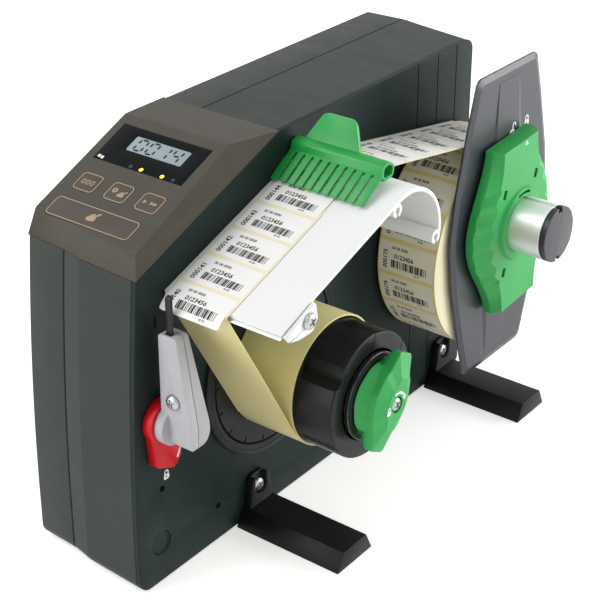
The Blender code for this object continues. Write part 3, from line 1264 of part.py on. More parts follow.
def pulley_outline(radius, teeth):
    """A toothed rim."""
    points = []
    for i in range(teeth):
        for offset, drop in TOOTH_SHARES:
            angle = math.tau * (i + offset) / teeth
            reach = radius - TOOTH_DEPTH * drop
            points.append((reach * math.cos(angle), reach * math.sin(angle)))
    return points


def make_pulleys():
    """The driven pulley on the shaft and the small one on the gear motor."""
    start = -PULLEY_X - PULLEY_WIDTH / 2
    bore = ring_outline(SHAFT_R + FIT)
    outline_solid("driven_pulley", [pulley_outline(DRIVEN_PULLEY_R, DRIVEN_TEETH), bore], PULLEY_WIDTH, "white",
                  (start, 0.0, 0.0), parent=DRUM_AXIS)
    bore = ring_outline(MOTOR_SHAFT_R + FIT)
    outline_solid("motor_pulley", [pulley_outline(MOTOR_PULLEY_R, MOTOR_TEETH), bore], PULLEY_WIDTH, "white",
                  (start, 0.0, 0.0), parent=MOTOR_AXIS)


def belt_loop(lift):
    """A belt's path round both pulleys, in side view from the drum's axis."""
    away = (MOTOR_Y - DRUM_Y, MOTOR_Z - DRUM_Z)
    reach = math.hypot(*away)
    bearing = math.atan2(away[1], away[0])
    big, small = DRIVEN_PULLEY_R + lift, MOTOR_PULLEY_R + lift
    lean = math.acos((big - small) / reach)
    points = arc((0.0, 0.0), big, bearing + lean, bearing + math.tau - lean, ROUND_STEPS * 2 // 3)
    return points + arc(away, small, bearing - lean, bearing + lean, SMALL_STEPS)


def make_belt():
    """The toothed belt from the motor to the rewinder."""
    start = -PULLEY_X - BELT_WIDTH / 2
    loops = [belt_loop(FIT + BELT_THICKNESS), belt_loop(FIT)]
    outline_solid("drive_belt", loops, BELT_WIDTH, "rubber", (start, 0.0, 0.0), parent=DRUM_AXIS)


def make_motor():
    """The gear motor on its bracket plate."""
    inner = -WALL_THICKNESS - FIT
    face = inner - BRACKET_THICKNESS - FIT
    plate = block("motor_bracket", (BRACKET_THICKNESS, *BRACKET_SIZE), "steel",
                  (inner - BRACKET_THICKNESS / 2, 0.0, 0.0), parent=MOTOR_AXIS)
    hole(plate, "bracket_hole", MOTOR_R / 2, inner - BRACKET_THICKNESS - OVERRUN, 0.0, parent=MOTOR_AXIS,
         steps=ROUND_STEPS * 2 // 3)
    end = face - MOTOR_LENGTH
    tail = -PULLEY_X - PULLEY_WIDTH / 2
    profile = [
        (0.0, face), (MOTOR_R - OVERRUN, face), (MOTOR_R, face - OVERRUN), (MOTOR_R, end + OVERRUN),
        (MOTOR_R - OVERRUN, end), (MOTOR_SHAFT_R * 2, end), (MOTOR_SHAFT_R * 2, end - OVERRUN),
        (MOTOR_SHAFT_R, end - OVERRUN), (MOTOR_SHAFT_R, tail), (0.0, tail),
    ]
    turned("gear_motor", profile, "steel", parent=MOTOR_AXIS, steps=ROUND_STEPS * 2 // 3)


def make_power_supply():
    """The supply board on its stand-offs, with transformer and capacitor."""
    face = -WALL_THICKNESS - FIT
    x = face - SUPPLY_STANDOFF - BOARD_THICKNESS / 2
    board = block("power_supply", (BOARD_THICKNESS, *SUPPLY_SIZE), "circuit", (x, *SUPPLY_CENTRE))
    for i, (a, b) in enumerate(((-1, -1), (1, -1), (-1, 1), (1, 1))):
        centre = (SUPPLY_CENTRE[0] + a * (SUPPLY_SIZE[0] / 2 - OVERRUN * 3),
                  SUPPLY_CENTRE[1] + b * (SUPPLY_SIZE[1] / 2 - OVERRUN * 3))
        post = turned(f"supply_post_{i}", ring_profile(BOARD_POST_R, 0.0, x, face), location=(0.0, *centre),
                      steps=SCREW_STEPS)
        combine(board, post, "UNION")
    place = (x - SUPPLY_BLOCK[2] / 2, SUPPLY_CENTRE[0] - SUPPLY_SIZE[0] * SUPPLY_SHARE, SUPPLY_CENTRE[1])
    size = (SUPPLY_BLOCK[2], SUPPLY_BLOCK[0], SUPPLY_BLOCK[1])
    combine(board, block("supply_transformer", size, location=place, bevel=BOARD_THICKNESS / 2), "UNION")
    centre = (SUPPLY_CENTRE[0] + SUPPLY_SIZE[0] * SUPPLY_SHARE, SUPPLY_CENTRE[1] + SUPPLY_SIZE[1] * SUPPLY_SHARE)
    can = turned("supply_can", ring_profile(SUPPLY_CAN_R, 0.0, x - SUPPLY_CAN, x), location=(0.0, *centre),
                 steps=SMALL_STEPS)
    combine(board, can, "UNION")


def make_power_inlet():
    """The mains inlet with its three contacts."""
    proud = FIT + FLANGE_PLATE
    place = (INLET_CENTRE[0] + proud * math.sin(REAR_LEAN),
             rear_face(INLET_CENTRE[0]) + proud * math.cos(REAR_LEAN), INLET_CENTRE[1])
    plate = outline_solid("power_inlet", [block_outline(*INLET_FLANGE, FLANGE_PLATE * 2)], FLANGE_PLATE, "black",
                          place, (math.pi / 2, 0.0, -REAR_LEAN))
    shell = outline_solid("inlet_shell", [block_outline(*INLET_SIZE, FLANGE_PLATE)], INLET_DEPTH,
                          location=place, rotation=(math.pi / 2, 0.0, -REAR_LEAN))
    combine(plate, shell, "UNION")
    size = (INLET_SIZE[0] - INLET_WALL * 2, INLET_SIZE[1] - INLET_WALL * 2)
    room = block("inlet_room", (*size, INLET_DEPTH * 2 - INLET_WALL * 2), location=place,
                 rotation=(math.pi / 2, 0.0, -REAR_LEAN))
    combine(plate, room)
    for i, (across, up) in enumerate(((-PIN_PITCH, 0.0), (0.0, PIN_SIZE[1] / 2), (PIN_PITCH, 0.0))):
        spot = (place[0] + across * math.cos(REAR_LEAN), place[1] - across * math.sin(REAR_LEAN), place[2] + up)
        pin = outline_solid(f"inlet_pin_{i}", [block_outline(*PIN_SIZE, 0.0)], INLET_DEPTH - FLANGE_PLATE / 2,
                            location=spot, rotation=(math.pi / 2, 0.0, -REAR_LEAN))
        hidden = block(f"pin_trim_{i}", (PIN_SIZE[0] * 2, FLANGE_PLATE * 2, PIN_SIZE[1] * 2), location=spot,
                       rotation=(0.0, 0.0, -REAR_LEAN))
        combine(pin, hidden)
        combine(plate, pin, "UNION")


def make_power_switch():
    """The rocker that turns on a level axis in the rear of the cover."""
    half = SWITCH_SIZE[1] / 2
    drop = half * math.tan(SWITCH_DISH)
    front = SWITCH_DEPTH / 3
    corners = [
        (-half, front + drop), (0.0, front), (half, front + drop), (half * SWITCH_SHARE, -SWITCH_DEPTH / 2),
        (-half * SWITCH_SHARE, -SWITCH_DEPTH / 2),
    ]
    outline = [(-v, u) for u, v in corners]
    place = (SWITCH_CENTRE[0], rear_face(SWITCH_CENTRE[0]), SWITCH_CENTRE[1])
    across = SWITCH_SIZE[0] / 2
    start = (place[0] + across * math.cos(REAR_LEAN), place[1] - across * math.sin(REAR_LEAN), place[2])
    outline_solid("power_switch", [outline], SWITCH_SIZE[0], "black", start, (math.pi / 2, 0.0, -math.pi / 2 - REAR_LEAN))


# Supply spindle

def make_spindle():
    """The fixed tube with its keyway, the base it bolts to, the bolt and the end cap."""
    start = FIT + BASE_DISC + FIT
    inner = SPINDLE_R - SPINDLE_WALL
    tube = turned("spindle_tube", ring_profile(SPINDLE_R, inner, start, SPINDLE_END), "aluminium",
                  parent=SPINDLE_AXIS, steps=FINE_STEPS)
    way = block("keyway", (SPINDLE_END * 2, KEYWAY[0], KEYWAY[1] * 2), location=(SPINDLE_END, 0.0, SPINDLE_R),
                parent=SPINDLE_AXIS)
    combine(tube, way)
    spigot = inner - FIT
    tap = BOLT_R + FIT
    profile = [
        (BASE_DISC_R, FIT + BASE_DISC), (BASE_DISC_R, FIT), (tap, FIT), (tap, FIT + BOLT_REACH),
        (0.0, FIT + BOLT_REACH), (0.0, FIT + BASE_SPIGOT), (spigot, FIT + BASE_SPIGOT), (spigot, FIT + BASE_DISC),
    ]
    turned("spindle_base", profile, "aluminium", parent=SPINDLE_AXIS, steps=FINE_STEPS)
    seat = -WALL_THICKNESS - FIT
    profile = [
        (0.0, BOLT_REACH), (BOLT_R, BOLT_REACH), (BOLT_R, seat), (BOLT_HEAD_R, seat),
        (BOLT_HEAD_R, seat - BOLT_HEAD), (0.0, seat - BOLT_HEAD),
    ]
    turned("spindle_bolt", profile, "steel", parent=SPINDLE_AXIS, steps=SMALL_STEPS)
    seat = SPINDLE_END + FIT
    end = SPINDLE_END + CAP_THICKNESS
    chamfer = CAP_THICKNESS / 6
    profile = [
        (0.0, end), (SPINDLE_R - chamfer, end), (SPINDLE_R, end - chamfer), (SPINDLE_R, seat), (spigot, seat),
        (spigot, seat - CAP_PLUG), (0.0, seat - CAP_PLUG),
    ]
    cap = turned("spindle_cap", profile, "slate", parent=SPINDLE_AXIS, steps=FINE_STEPS)
    for i, side in enumerate((1, -1)):
        notch = block(f"cap_notch_{i}", (CAP_THICKNESS * 4, CAP_NOTCH[0], CAP_NOTCH[1] * 2),
                      location=(end + CAP_THICKNESS, 0.0, side * SPINDLE_R), parent=SPINDLE_AXIS)
        combine(cap, notch)


def make_roll():
    """The card core that hangs on the spindle and the labels wound on it."""
    end = STRIP_X + STRIP_WIDTH
    outer = CORE_BORE_R + CORE_WALL
    turned("roll_core", ring_profile(outer, CORE_BORE_R, STRIP_X, end), "card", parent=ROLL_AXIS, steps=FINE_STEPS)
    turned("label_roll", ring_profile(ROLL_R, outer + FIT, STRIP_X, end), "label", parent=ROLL_AXIS, steps=FINE_STEPS)


def wing_outline(inset):
    """The long guide wing, widest at its axis, drawn in by an inset."""
    half = list(WING_HALF)
    right = [(w - inset, -z, 0.0) for z, w in half[:0:-1]] + [(w - inset, z, 0.0) for z, w in half]
    end = WING_END - inset
    tip = (WING_HALF[-1][1] - WING_END_R / 3 - inset, end, WING_END_R)
    upper = right + [tip]
    top_left = [(-tip[0], end, WING_END_R)]
    left = [(-u, v, r) for u, v, r in right[::-1]]
    low = [(-tip[0], -end, WING_END_R), (tip[0], -end, WING_END_R)]
    return rounded(upper + top_left + left + low)


def make_wing():
    """The slate guide wing: a thin dished plate with a chamfered rim and two tapered ridges."""
    chamfer = WING_CHAMFER
    stations = (
        (WING_X, 0.0), (WING_X + WING_THICKNESS * WING_LIP_SHARE, 0.0), (WING_X + WING_THICKNESS, chamfer),
    )
    wing = loft("guide_wing", [section(wing_outline(inset), x) for x, inset in stations], "slate",
                parent=SPINDLE_AXIS)
    for i, side in enumerate((1, -1)):
        combine(wing, wing_ridge(f"wing_ridge_{i}", side), "UNION")
    hole(wing, "wing_bore", WING_BORE_R, WING_X - OVERRUN, HUB_FACE, parent=SPINDLE_AXIS, steps=ROUND_STEPS)


def wing_ridge(name, side):
    """A ridge that tapers from beside the hub to a point near the wing's end."""
    face = WING_X + WING_THICKNESS
    low = face - WING_THICKNESS / 2
    high = face + RIDGE_RISE - FIT * 4
    root, tip = RIDGE_ROOT * side, RIDGE_TIP * side
    half = RIDGE_HALF * side
    base = [(low, -half, root), (low, 0.0, root), (high, 0.0, root), (high, -half / 3, root)]
    point = [(low, -half / 6, tip), (low, 0.0, tip), (face, 0.0, tip), (face, -half / 12, tip)]
    return loft(name, [base, point], parent=SPINDLE_AXIS)


def hub_outline(points, share):
    """The lock hub's outline with wavy grips on both sides."""
    tip, mid, waist = points
    side = [tip, mid, waist, (mid[0], -mid[1]), (tip[0], -tip[1])]
    right = []
    for i in range(HUB_SIDE_STEPS + 1):
        z = tip[1] - 2 * tip[1] * i / HUB_SIDE_STEPS
        for (wa, za), (wb, zb) in zip(side, side[1:]):
            if zb - MERGE <= z <= za + MERGE:
                w = wa + (wb - wa) * (za - z) / (za - zb)
        if abs(z) < mid[1]:
            w += HUB_GRIP_DEPTH * share * math.cos(math.pi * HUB_GRIPS * z / mid[1])
        right.append((w, z))
    return right + [(-w, -z) for w, z in right]


def make_hub():
    """The green lock hub that slides on the spindle and grips it by a part turn."""
    stations = (
        (HUB_BACK, HUB_BACK_POINTS, 1.0), ((HUB_BACK + HUB_FACE) / 2, HUB_BACK_POINTS, 1.0),
        (HUB_FACE, HUB_FACE_POINTS, 0.5),
    )
    sections = [section(hub_outline(points, share), x) for x, points, share in stations]
    hub = loft("lock_hub", sections, "green", parent=HUB_AXIS)
    end = HUB_FACE + HUB_BOSS
    profile = [
        (HUB_SLEEVE_R - HUB_BOSS, end), (HUB_BOSS_R, HUB_FACE), (HUB_BOSS_R, HUB_BACK + HUB_BOSS),
        (HUB_SLEEVE_R, HUB_BACK + HUB_BOSS), (HUB_SLEEVE_R, WING_X), (0.0, WING_X), (0.0, end),
    ]
    combine(hub, turned("hub_boss", profile, parent=HUB_AXIS), "UNION")
    hole(hub, "hub_bore", SPINDLE_R + FIT, WING_X - OVERRUN, end + OVERRUN, parent=HUB_AXIS, steps=FINE_STEPS)
    depth = HUB_SLOT_DEPTH
    for i, (y, z) in enumerate(HUB_SLOT_PLACES):
        slot = block(f"hub_slot_{i}", (depth * 2, *HUB_SLOT), location=(HUB_FACE, y, z), parent=HUB_AXIS,
                     rotation=(-math.radians(20.0), 0.0, 0.0))
        combine(hub, slot)
    outer = arc((0.0, 0.0), HUB_ARC_R + HUB_ARC_WIDTH / 2, *HUB_ARC, 8)
    inner = arc((0.0, 0.0), HUB_ARC_R - HUB_ARC_WIDTH / 2, *HUB_ARC, 8)
    combine(hub, outline_solid("hub_arc", [ribbon(outer, inner)], depth * 2, location=(HUB_FACE - depth / 2, 0.0, 0.0),
                               parent=HUB_AXIS))


# Feet

def make_foot(name, y):
    """A black foot bar with the ear that is screwed to the wall."""
    middle = y + FOOT_WIDTH / 2
    outline = [(y, 0.0), (y + FOOT_WIDTH, 0.0), (y + FOOT_WIDTH - FOOT_TAPER, FOOT_HEIGHT),
               (y + FOOT_TAPER, FOOT_HEIGHT)]
    foot = outline_solid(name, [outline], FOOT_LENGTH - FIT, "black", (FIT, 0.0, 0.0))
    base, head = FOOT_EAR_BASE / 2, FOOT_EAR_HEAD / 2
    tab = rounded([
        (middle - base, FOOT_HEIGHT / 2, 0.0), (middle + base, FOOT_HEIGHT / 2, 0.0),
        (middle + head, FOOT_EAR_TOP, FOOT_EAR_R), (middle - head, FOOT_EAR_TOP, FOOT_EAR_R),
    ])
    combine(foot, outline_solid(f"{name}_ear", [tab], FOOT_EAR_THICKNESS, location=(FIT, 0.0, 0.0)), "UNION")
    end = FIT + FOOT_EAR_THICKNESS
    floor = end - FOOT_POCKET
    centre = (middle, FOOT_SCREW_Z)
    hole(foot, f"{name}_pocket", FOOT_POCKET_R, floor, end + OVERRUN, centre)
    mouth = block(f"{name}_mouth", (FOOT_POCKET * 2, FOOT_POCKET_R * 2, FOOT_POCKET_R * 4),
                  location=(floor + FOOT_POCKET, middle, FOOT_SCREW_Z + FOOT_POCKET_R * 2))
    combine(foot, mouth)
    hole(foot, f"{name}_screw_hole", SCREW_SHANK_R + FIT, -OVERRUN, end, centre, steps=SCREW_STEPS)
    make_screw(f"{name}_screw", floor + FIT, FOOT_SCREW_R, FOOT_SCREW_HEAD, FOOT_SCREW_LENGTH, centre)


def make_rubber_foot(name, y):
    """A rubber pad under the left cover."""
    top = BODY_BASE - FIT
    profile = [(0.0, top), (RUBBER_R, top), (RUBBER_R, top / 2), (RUBBER_R - top / 2, 0.0), (0.0, 0.0)]
    turned(name, profile, "rubber", (RUBBER_X, y, 0.0), TOP_VIEW, steps=SMALL_STEPS)


def main():
    """Model every piece of the machine."""
    make_side_wall()
    make_hole_plug()
    make_main_cover()
    make_left_cover()
    make_control_panel()
    make_display()
    make_keys()
    make_dispensing_plate()
    make_peel_edge()
    make_label_strip()
    make_liner()
    make_comb()
    make_comb_pin()
    make_sensor()
    make_feeler()
    make_clamp()
    make_rewinder_flange()
    make_drum()
    make_clamp_segment()
    make_hub_disc()
    make_rewinder_knob()
    make_bearings()
    make_pulleys()
    make_belt()
    make_motor()
    make_power_supply()
    make_power_inlet()
    make_power_switch()
    make_spindle()
    make_roll()
    make_wing()
    make_hub()
    for name, y in zip(("front_foot", "rear_foot"), FOOT_Y):
        make_foot(name, y)
    for name, y in zip(("front_rubber_foot", "rear_rubber_foot"), RUBBER_Y):
        make_rubber_foot(name, y)


main()
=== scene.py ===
"""The label dispenser machine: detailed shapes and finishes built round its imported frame.

Sizes are in millimetres in the machine's own frame. X runs from the wall's outer face toward the mechanism,
Y from the front seam toward the rear, and Z up from the table.
"""

import logging
import math
from dataclasses import dataclass, field
from enum import Enum
from typing import Callable, Sequence

import bmesh
import bpy
from mathutils import Matrix, Vector


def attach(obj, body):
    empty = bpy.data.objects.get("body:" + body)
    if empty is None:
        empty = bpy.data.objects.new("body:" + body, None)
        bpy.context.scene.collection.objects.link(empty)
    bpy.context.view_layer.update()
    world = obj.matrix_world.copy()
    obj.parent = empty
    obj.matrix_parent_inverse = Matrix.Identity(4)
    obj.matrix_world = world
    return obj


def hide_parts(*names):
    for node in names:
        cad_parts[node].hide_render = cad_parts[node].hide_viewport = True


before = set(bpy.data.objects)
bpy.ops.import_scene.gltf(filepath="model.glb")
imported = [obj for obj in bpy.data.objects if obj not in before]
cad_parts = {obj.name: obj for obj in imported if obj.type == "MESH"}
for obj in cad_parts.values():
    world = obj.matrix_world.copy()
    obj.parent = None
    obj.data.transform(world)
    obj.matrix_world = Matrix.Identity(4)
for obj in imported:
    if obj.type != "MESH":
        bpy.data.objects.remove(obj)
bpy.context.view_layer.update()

LOG = logging.getLogger("label_dispenser")
MM = 0.001
DATUM = Vector((-3.25, -180.95, 0.0))
RECESS_TURN = 0.4
LINER_FACE = 0.18
LABEL_BASE = 0.2

Point = tuple[float, float]
Corner = tuple[float, float, float]
Triple = tuple[float, float, float]
Colour = tuple[float, float, float]
Loop = list[Point]
Object = bpy.types.Object
Shape = bmesh.types.BMesh


# Outlines in two dimensions

def arc(centre: Point, radius: float, start: float, end: float, steps: int) -> Loop:
    """Points along an arc, both ends included.

    Args:
        centre: The arc's centre.
        radius: Its radius.
        start: First angle in radians.
        end: Last angle in radians.
        steps: Number of chords.

    Returns:
        The points in order.
    """
    angles = [start + (end - start) * i / steps for i in range(steps + 1)]
    return [(centre[0] + radius * math.cos(a), centre[1] + radius * math.sin(a)) for a in angles]


def circle(centre: Point, radius: float, steps: int = 32) -> Loop:
    """A closed circle as a loop of points."""
    return arc(centre, radius, 0.0, math.tau * (steps - 1) / steps, steps - 1)


def rounded(corners: Sequence[Corner], steps: int = 6) -> Loop:
    """A closed outline whose corners are filleted.

    Args:
        corners: Points as (u, v, radius); radius 0 leaves the corner sharp.
        steps: Chords per fillet.

    Returns:
        The filleted outline.
    """
    points: Loop = []
    count = len(corners)
    for i, (u, v, radius) in enumerate(corners):
        here = Vector((u, v))
        before = (Vector(corners[i - 1][:2]) - here).normalized()
        after = (Vector(corners[(i + 1) % count][:2]) - here).normalized()
        half = before.angle(after) / 2
        if radius == 0.0 or abs(half - math.pi / 2) < 1e-4:
            points.append((u, v))
            continue
        centre = here + (before + after).normalized() * radius / math.sin(half)
        reach = radius / math.tan(half)
        start = here + before * reach - centre
        sweep = (here + after * reach - centre).angle_signed(start)
        points += [tuple(centre + Matrix.Rotation(sweep * k / steps, 2) @ start)
                   for k in range(steps + 1)]
    return points


def panel(width: float, height: float, radius: float, centre: Point = (0.0, 0.0),
          steps: int = 6) -> Loop:
    """A rectangle round a centre with filleted corners."""
    u, v = width / 2, height / 2
    corners = [(centre[0] + u * a, centre[1] + v * b, radius)
               for a, b in ((-1, -1), (1, -1), (1, 1), (-1, 1))]
    return rounded(corners, steps)


def turn(points: Loop, angle: float, centre: Point = (0.0, 0.0)) -> Loop:
    """Points turned about the origin and then moved to a centre."""
    spin = Matrix.Rotation(angle, 2)
    return [tuple(spin @ Vector(p) + Vector(centre)) for p in points]


def ribbon(inner: Loop, outer: Loop) -> Loop:
    """A closed outline between two open paths with the same ends."""
    return inner + outer[::-1]


def band(path: Loop, width: float) -> Loop:
    """A closed stroke of constant width along an open path."""
    left: Loop = []
    right: Loop = []
    for i, here in enumerate(path):
        before, after = path[max(i - 1, 0)], path[min(i + 1, len(path) - 1)]
        way = (Vector(after) - Vector(before)).normalized() * width / 2
        left.append((here[0] - way.y, here[1] + way.x))
        right.append((here[0] + way.y, here[1] - way.x))
    return ribbon(left, right)


def signed_area(loop: Loop) -> float:
    """Twice the loop's area, above zero when it runs counter-clockwise."""
    return sum(a[0] * b[1] - b[0] * a[1] for a, b in zip(loop, loop[1:] + loop[:1]))


def drawn_in(loop: Loop, amount: float) -> Loop:
    """The loop with every point moved to the left of its way round."""
    moved: Loop = []
    for i, here in enumerate(loop):
        before = (Vector(here) - Vector(loop[i - 1])).normalized()
        after = (Vector(loop[(i + 1) % len(loop)]) - Vector(here)).normalized()
        normal = Vector((-before.y - after.y, before.x + after.x)).normalized()
        share = max(normal.dot(Vector((-after.y, after.x))), 0.5)
        moved.append(tuple(Vector(here) + normal * amount / share))
    return moved


# Solids in three dimensions

def side_frame(y: float = 0.0, z: float = 0.0, angle: float = 0.0) -> Matrix:
    """A frame whose u, v, w run along Y, Z and X from a point of the side view, turned about X."""
    axes = Matrix(((0.0, 0.0, 1.0, 0.0), (1.0, 0.0, 0.0, 0.0), (0.0, 1.0, 0.0, 0.0),
                   (0.0, 0.0, 0.0, 1.0)))
    return Matrix.Translation((0.0, y, z)) @ Matrix.Rotation(angle, 4, "X") @ axes


SIDE = side_frame()


def settle(shape: Shape, name: str, place: Matrix, sharp: float = 32.0) -> Object:
    """Turn a mesh under construction into an object in the machine's world frame.

    Args:
        shape: The mesh in millimetres; it is freed.
        name: Name of the new object.
        place: Its place in the machine.
        sharp: Edges over this angle in degrees stay crisp.

    Returns:
        The new object, at the origin.
    """
    bmesh.ops.remove_doubles(shape, verts=shape.verts, dist=1e-4)
    bmesh.ops.recalc_face_normals(shape, faces=shape.faces)
    shape.transform(Matrix.Scale(MM, 4) @ Matrix.Translation(DATUM) @ place)
    mesh = bpy.data.meshes.new(name)
    shape.to_mesh(mesh)
    shape.free()
    piece = bpy.data.objects.new(name, mesh)
    bpy.context.scene.collection.objects.link(piece)
    return smoothed(piece, sharp)


def smoothed(piece: Object, sharp: float = 32.0) -> Object:
    """Shade a piece smooth except over its sharp edges."""
    piece.data.shade_smooth()
    piece.data.set_sharp_from_angle(angle=math.radians(sharp))
    return piece


def edge_layers(low: float, high: float, edge: float) -> list[Point]:
    """Heights of a slab with the inset at each, for rounded rims."""
    if edge == 0.0:
        return [(low, 0.0), (high, 0.0)]
    quarter = [math.pi / 2 * i / 3 for i in range(4)]
    bottom = [(low + edge * (1 - math.sin(a)), edge * (1 - math.cos(a))) for a in quarter[::-1]]
    top = [(high - edge * (1 - math.sin(a)), edge * (1 - math.cos(a))) for a in quarter]
    return bottom + top


def prism(name: str, loops: Sequence[Loop], low: float, high: float, place: Matrix = SIDE,
          edge: float = 0.0, sharp: float = 32.0) -> Object:
    """A slab between two heights, with holes and rounded rims.

    Args:
        name: Name of the object.
        loops: The outline, then any holes.
        low: Height of the lower face along w.
        high: Height of the upper face.
        place: The slab's frame.
        edge: Radius of the rims.
        sharp: Angle in degrees over which edges stay crisp.

    Returns:
        The slab.
    """
    shape = bmesh.new()
    add_slab(shape, loops, edge_layers(low, high, edge))
    return settle(shape, name, place, sharp)


def add_slab(shape: Shape, loops: Sequence[Loop], layers: Sequence[Point]) -> None:
    """Add a slab with any holes to a mesh under construction."""
    walls = []
    for k, loop in enumerate(loops):
        points = loop if (signed_area(loop) > 0.0) == (k == 0) else loop[::-1]
        rings = []
        for height, amount in layers:
            level = drawn_in(points, amount) if amount else points
            rings.append([shape.verts.new((u, v, height)) for u, v in level])
        add_skin(shape, rings)
        walls.append(rings)
    for end in (0, -1):
        if len(walls) == 1:
            shape.faces.new(walls[0][end])
            continue
        rims = []
        for rings in walls:
            ring = rings[end]
            rims += [shape.edges.get((ring[i - 1], ring[i])) for i in range(len(ring))]
        bmesh.ops.triangle_fill(shape, use_beauty=True, edges=rims)


def add_skin(shape: Shape, rings: Sequence[Sequence[bmesh.types.BMVert]], closed: bool = True) -> None:
    """Add the faces between consecutive rings of equal length."""
    for low, high in zip(rings, rings[1:]):
        for i in range(0 if closed else 1, len(low)):
            corners = []
            for vert in (low[i - 1], low[i], high[i], high[i - 1]):
                if vert not in corners:
                    corners.append(vert)
            if len(corners) > 2:
                shape.faces.new(corners)


def turned(name: str, profile: Sequence[Point], place: Matrix = SIDE, steps: int = 72,
           sharp: float = 32.0) -> Object:
    """A closed profile turned about the w axis.

    Args:
        name: Name of the object.
        profile: (radius, height) points; points on the axis become poles.
        place: The frame of the axis.
        steps: Sides of the round.
        sharp: Angle in degrees over which edges stay crisp.

    Returns:
        The turned solid.
    """
    shape = bmesh.new()
    columns = []
    for i in range(steps):
        angle = math.tau * i / steps
        columns.append([(r * math.cos(angle), r * math.sin(angle), h) for r, h in profile])
    poles = {k: shape.verts.new((0.0, 0.0, h)) for k, (r, h) in enumerate(profile) if r == 0.0}
    lines = [[poles.get(k) or shape.verts.new(p) for k, p in enumerate(column)] for column in columns]
    for i in range(steps):
        here, there = lines[i - 1], lines[i]
        for k in range(len(profile)):
            if k in poles and (k - 1) % len(profile) in poles:
                continue
            corners = []
            for vert in (here[k - 1], here[k], there[k], there[k - 1]):
                if vert not in corners:
                    corners.append(vert)
            shape.faces.new(corners)
    return settle(shape, name, place, sharp)


def softened(profile: Sequence[Point], radius: float, steps: int = 3) -> Loop:
    """A turned profile with all corners off the axis rounded."""
    return rounded([(r, h, radius if r else 0.0) for r, h in profile], steps)


def ring(outer: float, inner: float, start: float, end: float, radius: float = 0.0) -> Loop:
    """The profile of a plain ring, or a disc where the inner radius is zero."""
    profile = [(outer, end), (outer, start), (inner, start), (inner, end)]
    return softened(profile, radius) if radius else profile


def lofted(name: str, sections: Sequence[Sequence[Triple]], place: Matrix = Matrix(),
           sharp: float = 32.0, capped: tuple[bool, bool] = (True, True),
           closed: bool = True) -> Object:
    """A skin through sections with equal counts of points.

    Args:
        name: Name of the object.
        sections: Rings of points.
        place: Their frame.
        sharp: Angle in degrees over which edges stay crisp.
        capped: Whether the first and last section get a face.
        closed: Whether each section joins up with itself.

    Returns:
        The lofted object.
    """
    shape = bmesh.new()
    rings = [[shape.verts.new(p) for p in section] for section in sections]
    add_skin(shape, rings, closed)
    for wanted, ends in zip(capped, (rings[0], rings[-1])):
        if wanted:
            shape.faces.new(ends)
    return settle(shape, name, place, sharp)


def box(name: str, size: Triple, centre: Triple, place: Matrix = Matrix()) -> Object:
    """A cutting block round a centre."""
    u, v, w = size[0] / 2, size[1] / 2, size[2] / 2
    outline = [(-u, -v), (u, -v), (u, v), (-u, v)]
    return prism(name, [outline], -w, w, place @ Matrix.Translation(centre))


def applied(piece: Object, sharp: float = 32.0) -> Object:
    """Replace a piece's mesh by the result of its modifiers."""
    bpy.context.view_layer.update()
    graph = bpy.context.evaluated_depsgraph_get()
    mesh = bpy.data.meshes.new_from_object(piece.evaluated_get(graph))
    piece.modifiers.clear()
    piece.data = mesh
    mesh.name = piece.name
    return smoothed(piece, sharp)


def carved(piece: Object, tools: Sequence[Object], operation: str = "DIFFERENCE",
           sharp: float = 32.0) -> Object:
    """Cut a piece with tools, or weld them to it, and delete the tools."""
    for tool in tools:
        step = piece.modifiers.new(tool.name, "BOOLEAN")
        step.operation = operation
        step.solver = "EXACT"
        step.object = tool
    applied(piece, sharp)
    for tool in tools:
        bpy.data.objects.remove(tool, do_unlink=True)
    return piece


def walled(piece: Object, thickness: float) -> Object:
    """Give an open skin a wall on its inner side."""
    wall = piece.modifiers.new("wall", "SOLIDIFY")
    wall.thickness = thickness * MM
    wall.offset = -1.0
    wall.use_even_offset = True
    return applied(piece)


def eased(piece: Object, width: float, angle: float = 30.0, sharp: float = 40.0) -> Object:
    """Round a piece's edges by a small bevel."""
    rounding = piece.modifiers.new("rounding", "BEVEL")
    rounding.width = width * MM
    rounding.segments = 2
    rounding.limit_method = "ANGLE"
    rounding.angle_limit = math.radians(angle)
    return applied(piece, sharp)


def refined(node: str, name: str, width: float, angle: float = 30.0) -> Object:
    """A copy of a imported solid, cleaned of flat seams and with its edges rounded.

    Args:
        node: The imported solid.
        name: Name of the new piece.
        width: Size of the rounding.
        angle: Edges over this angle in degrees are rounded.

    Returns:
        The new piece.
    """
    shape = bmesh.new()
    shape.from_mesh(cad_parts[node].data)
    bmesh.ops.remove_doubles(shape, verts=shape.verts, dist=1e-6)
    flat = math.radians(0.8)
    bmesh.ops.dissolve_limit(shape, angle_limit=flat, verts=shape.verts, edges=shape.edges)
    mesh = bpy.data.meshes.new(name)
    shape.to_mesh(mesh)
    shape.free()
    piece = bpy.data.objects.new(name, mesh)
    bpy.context.scene.collection.objects.link(piece)
    return eased(piece, width, angle)


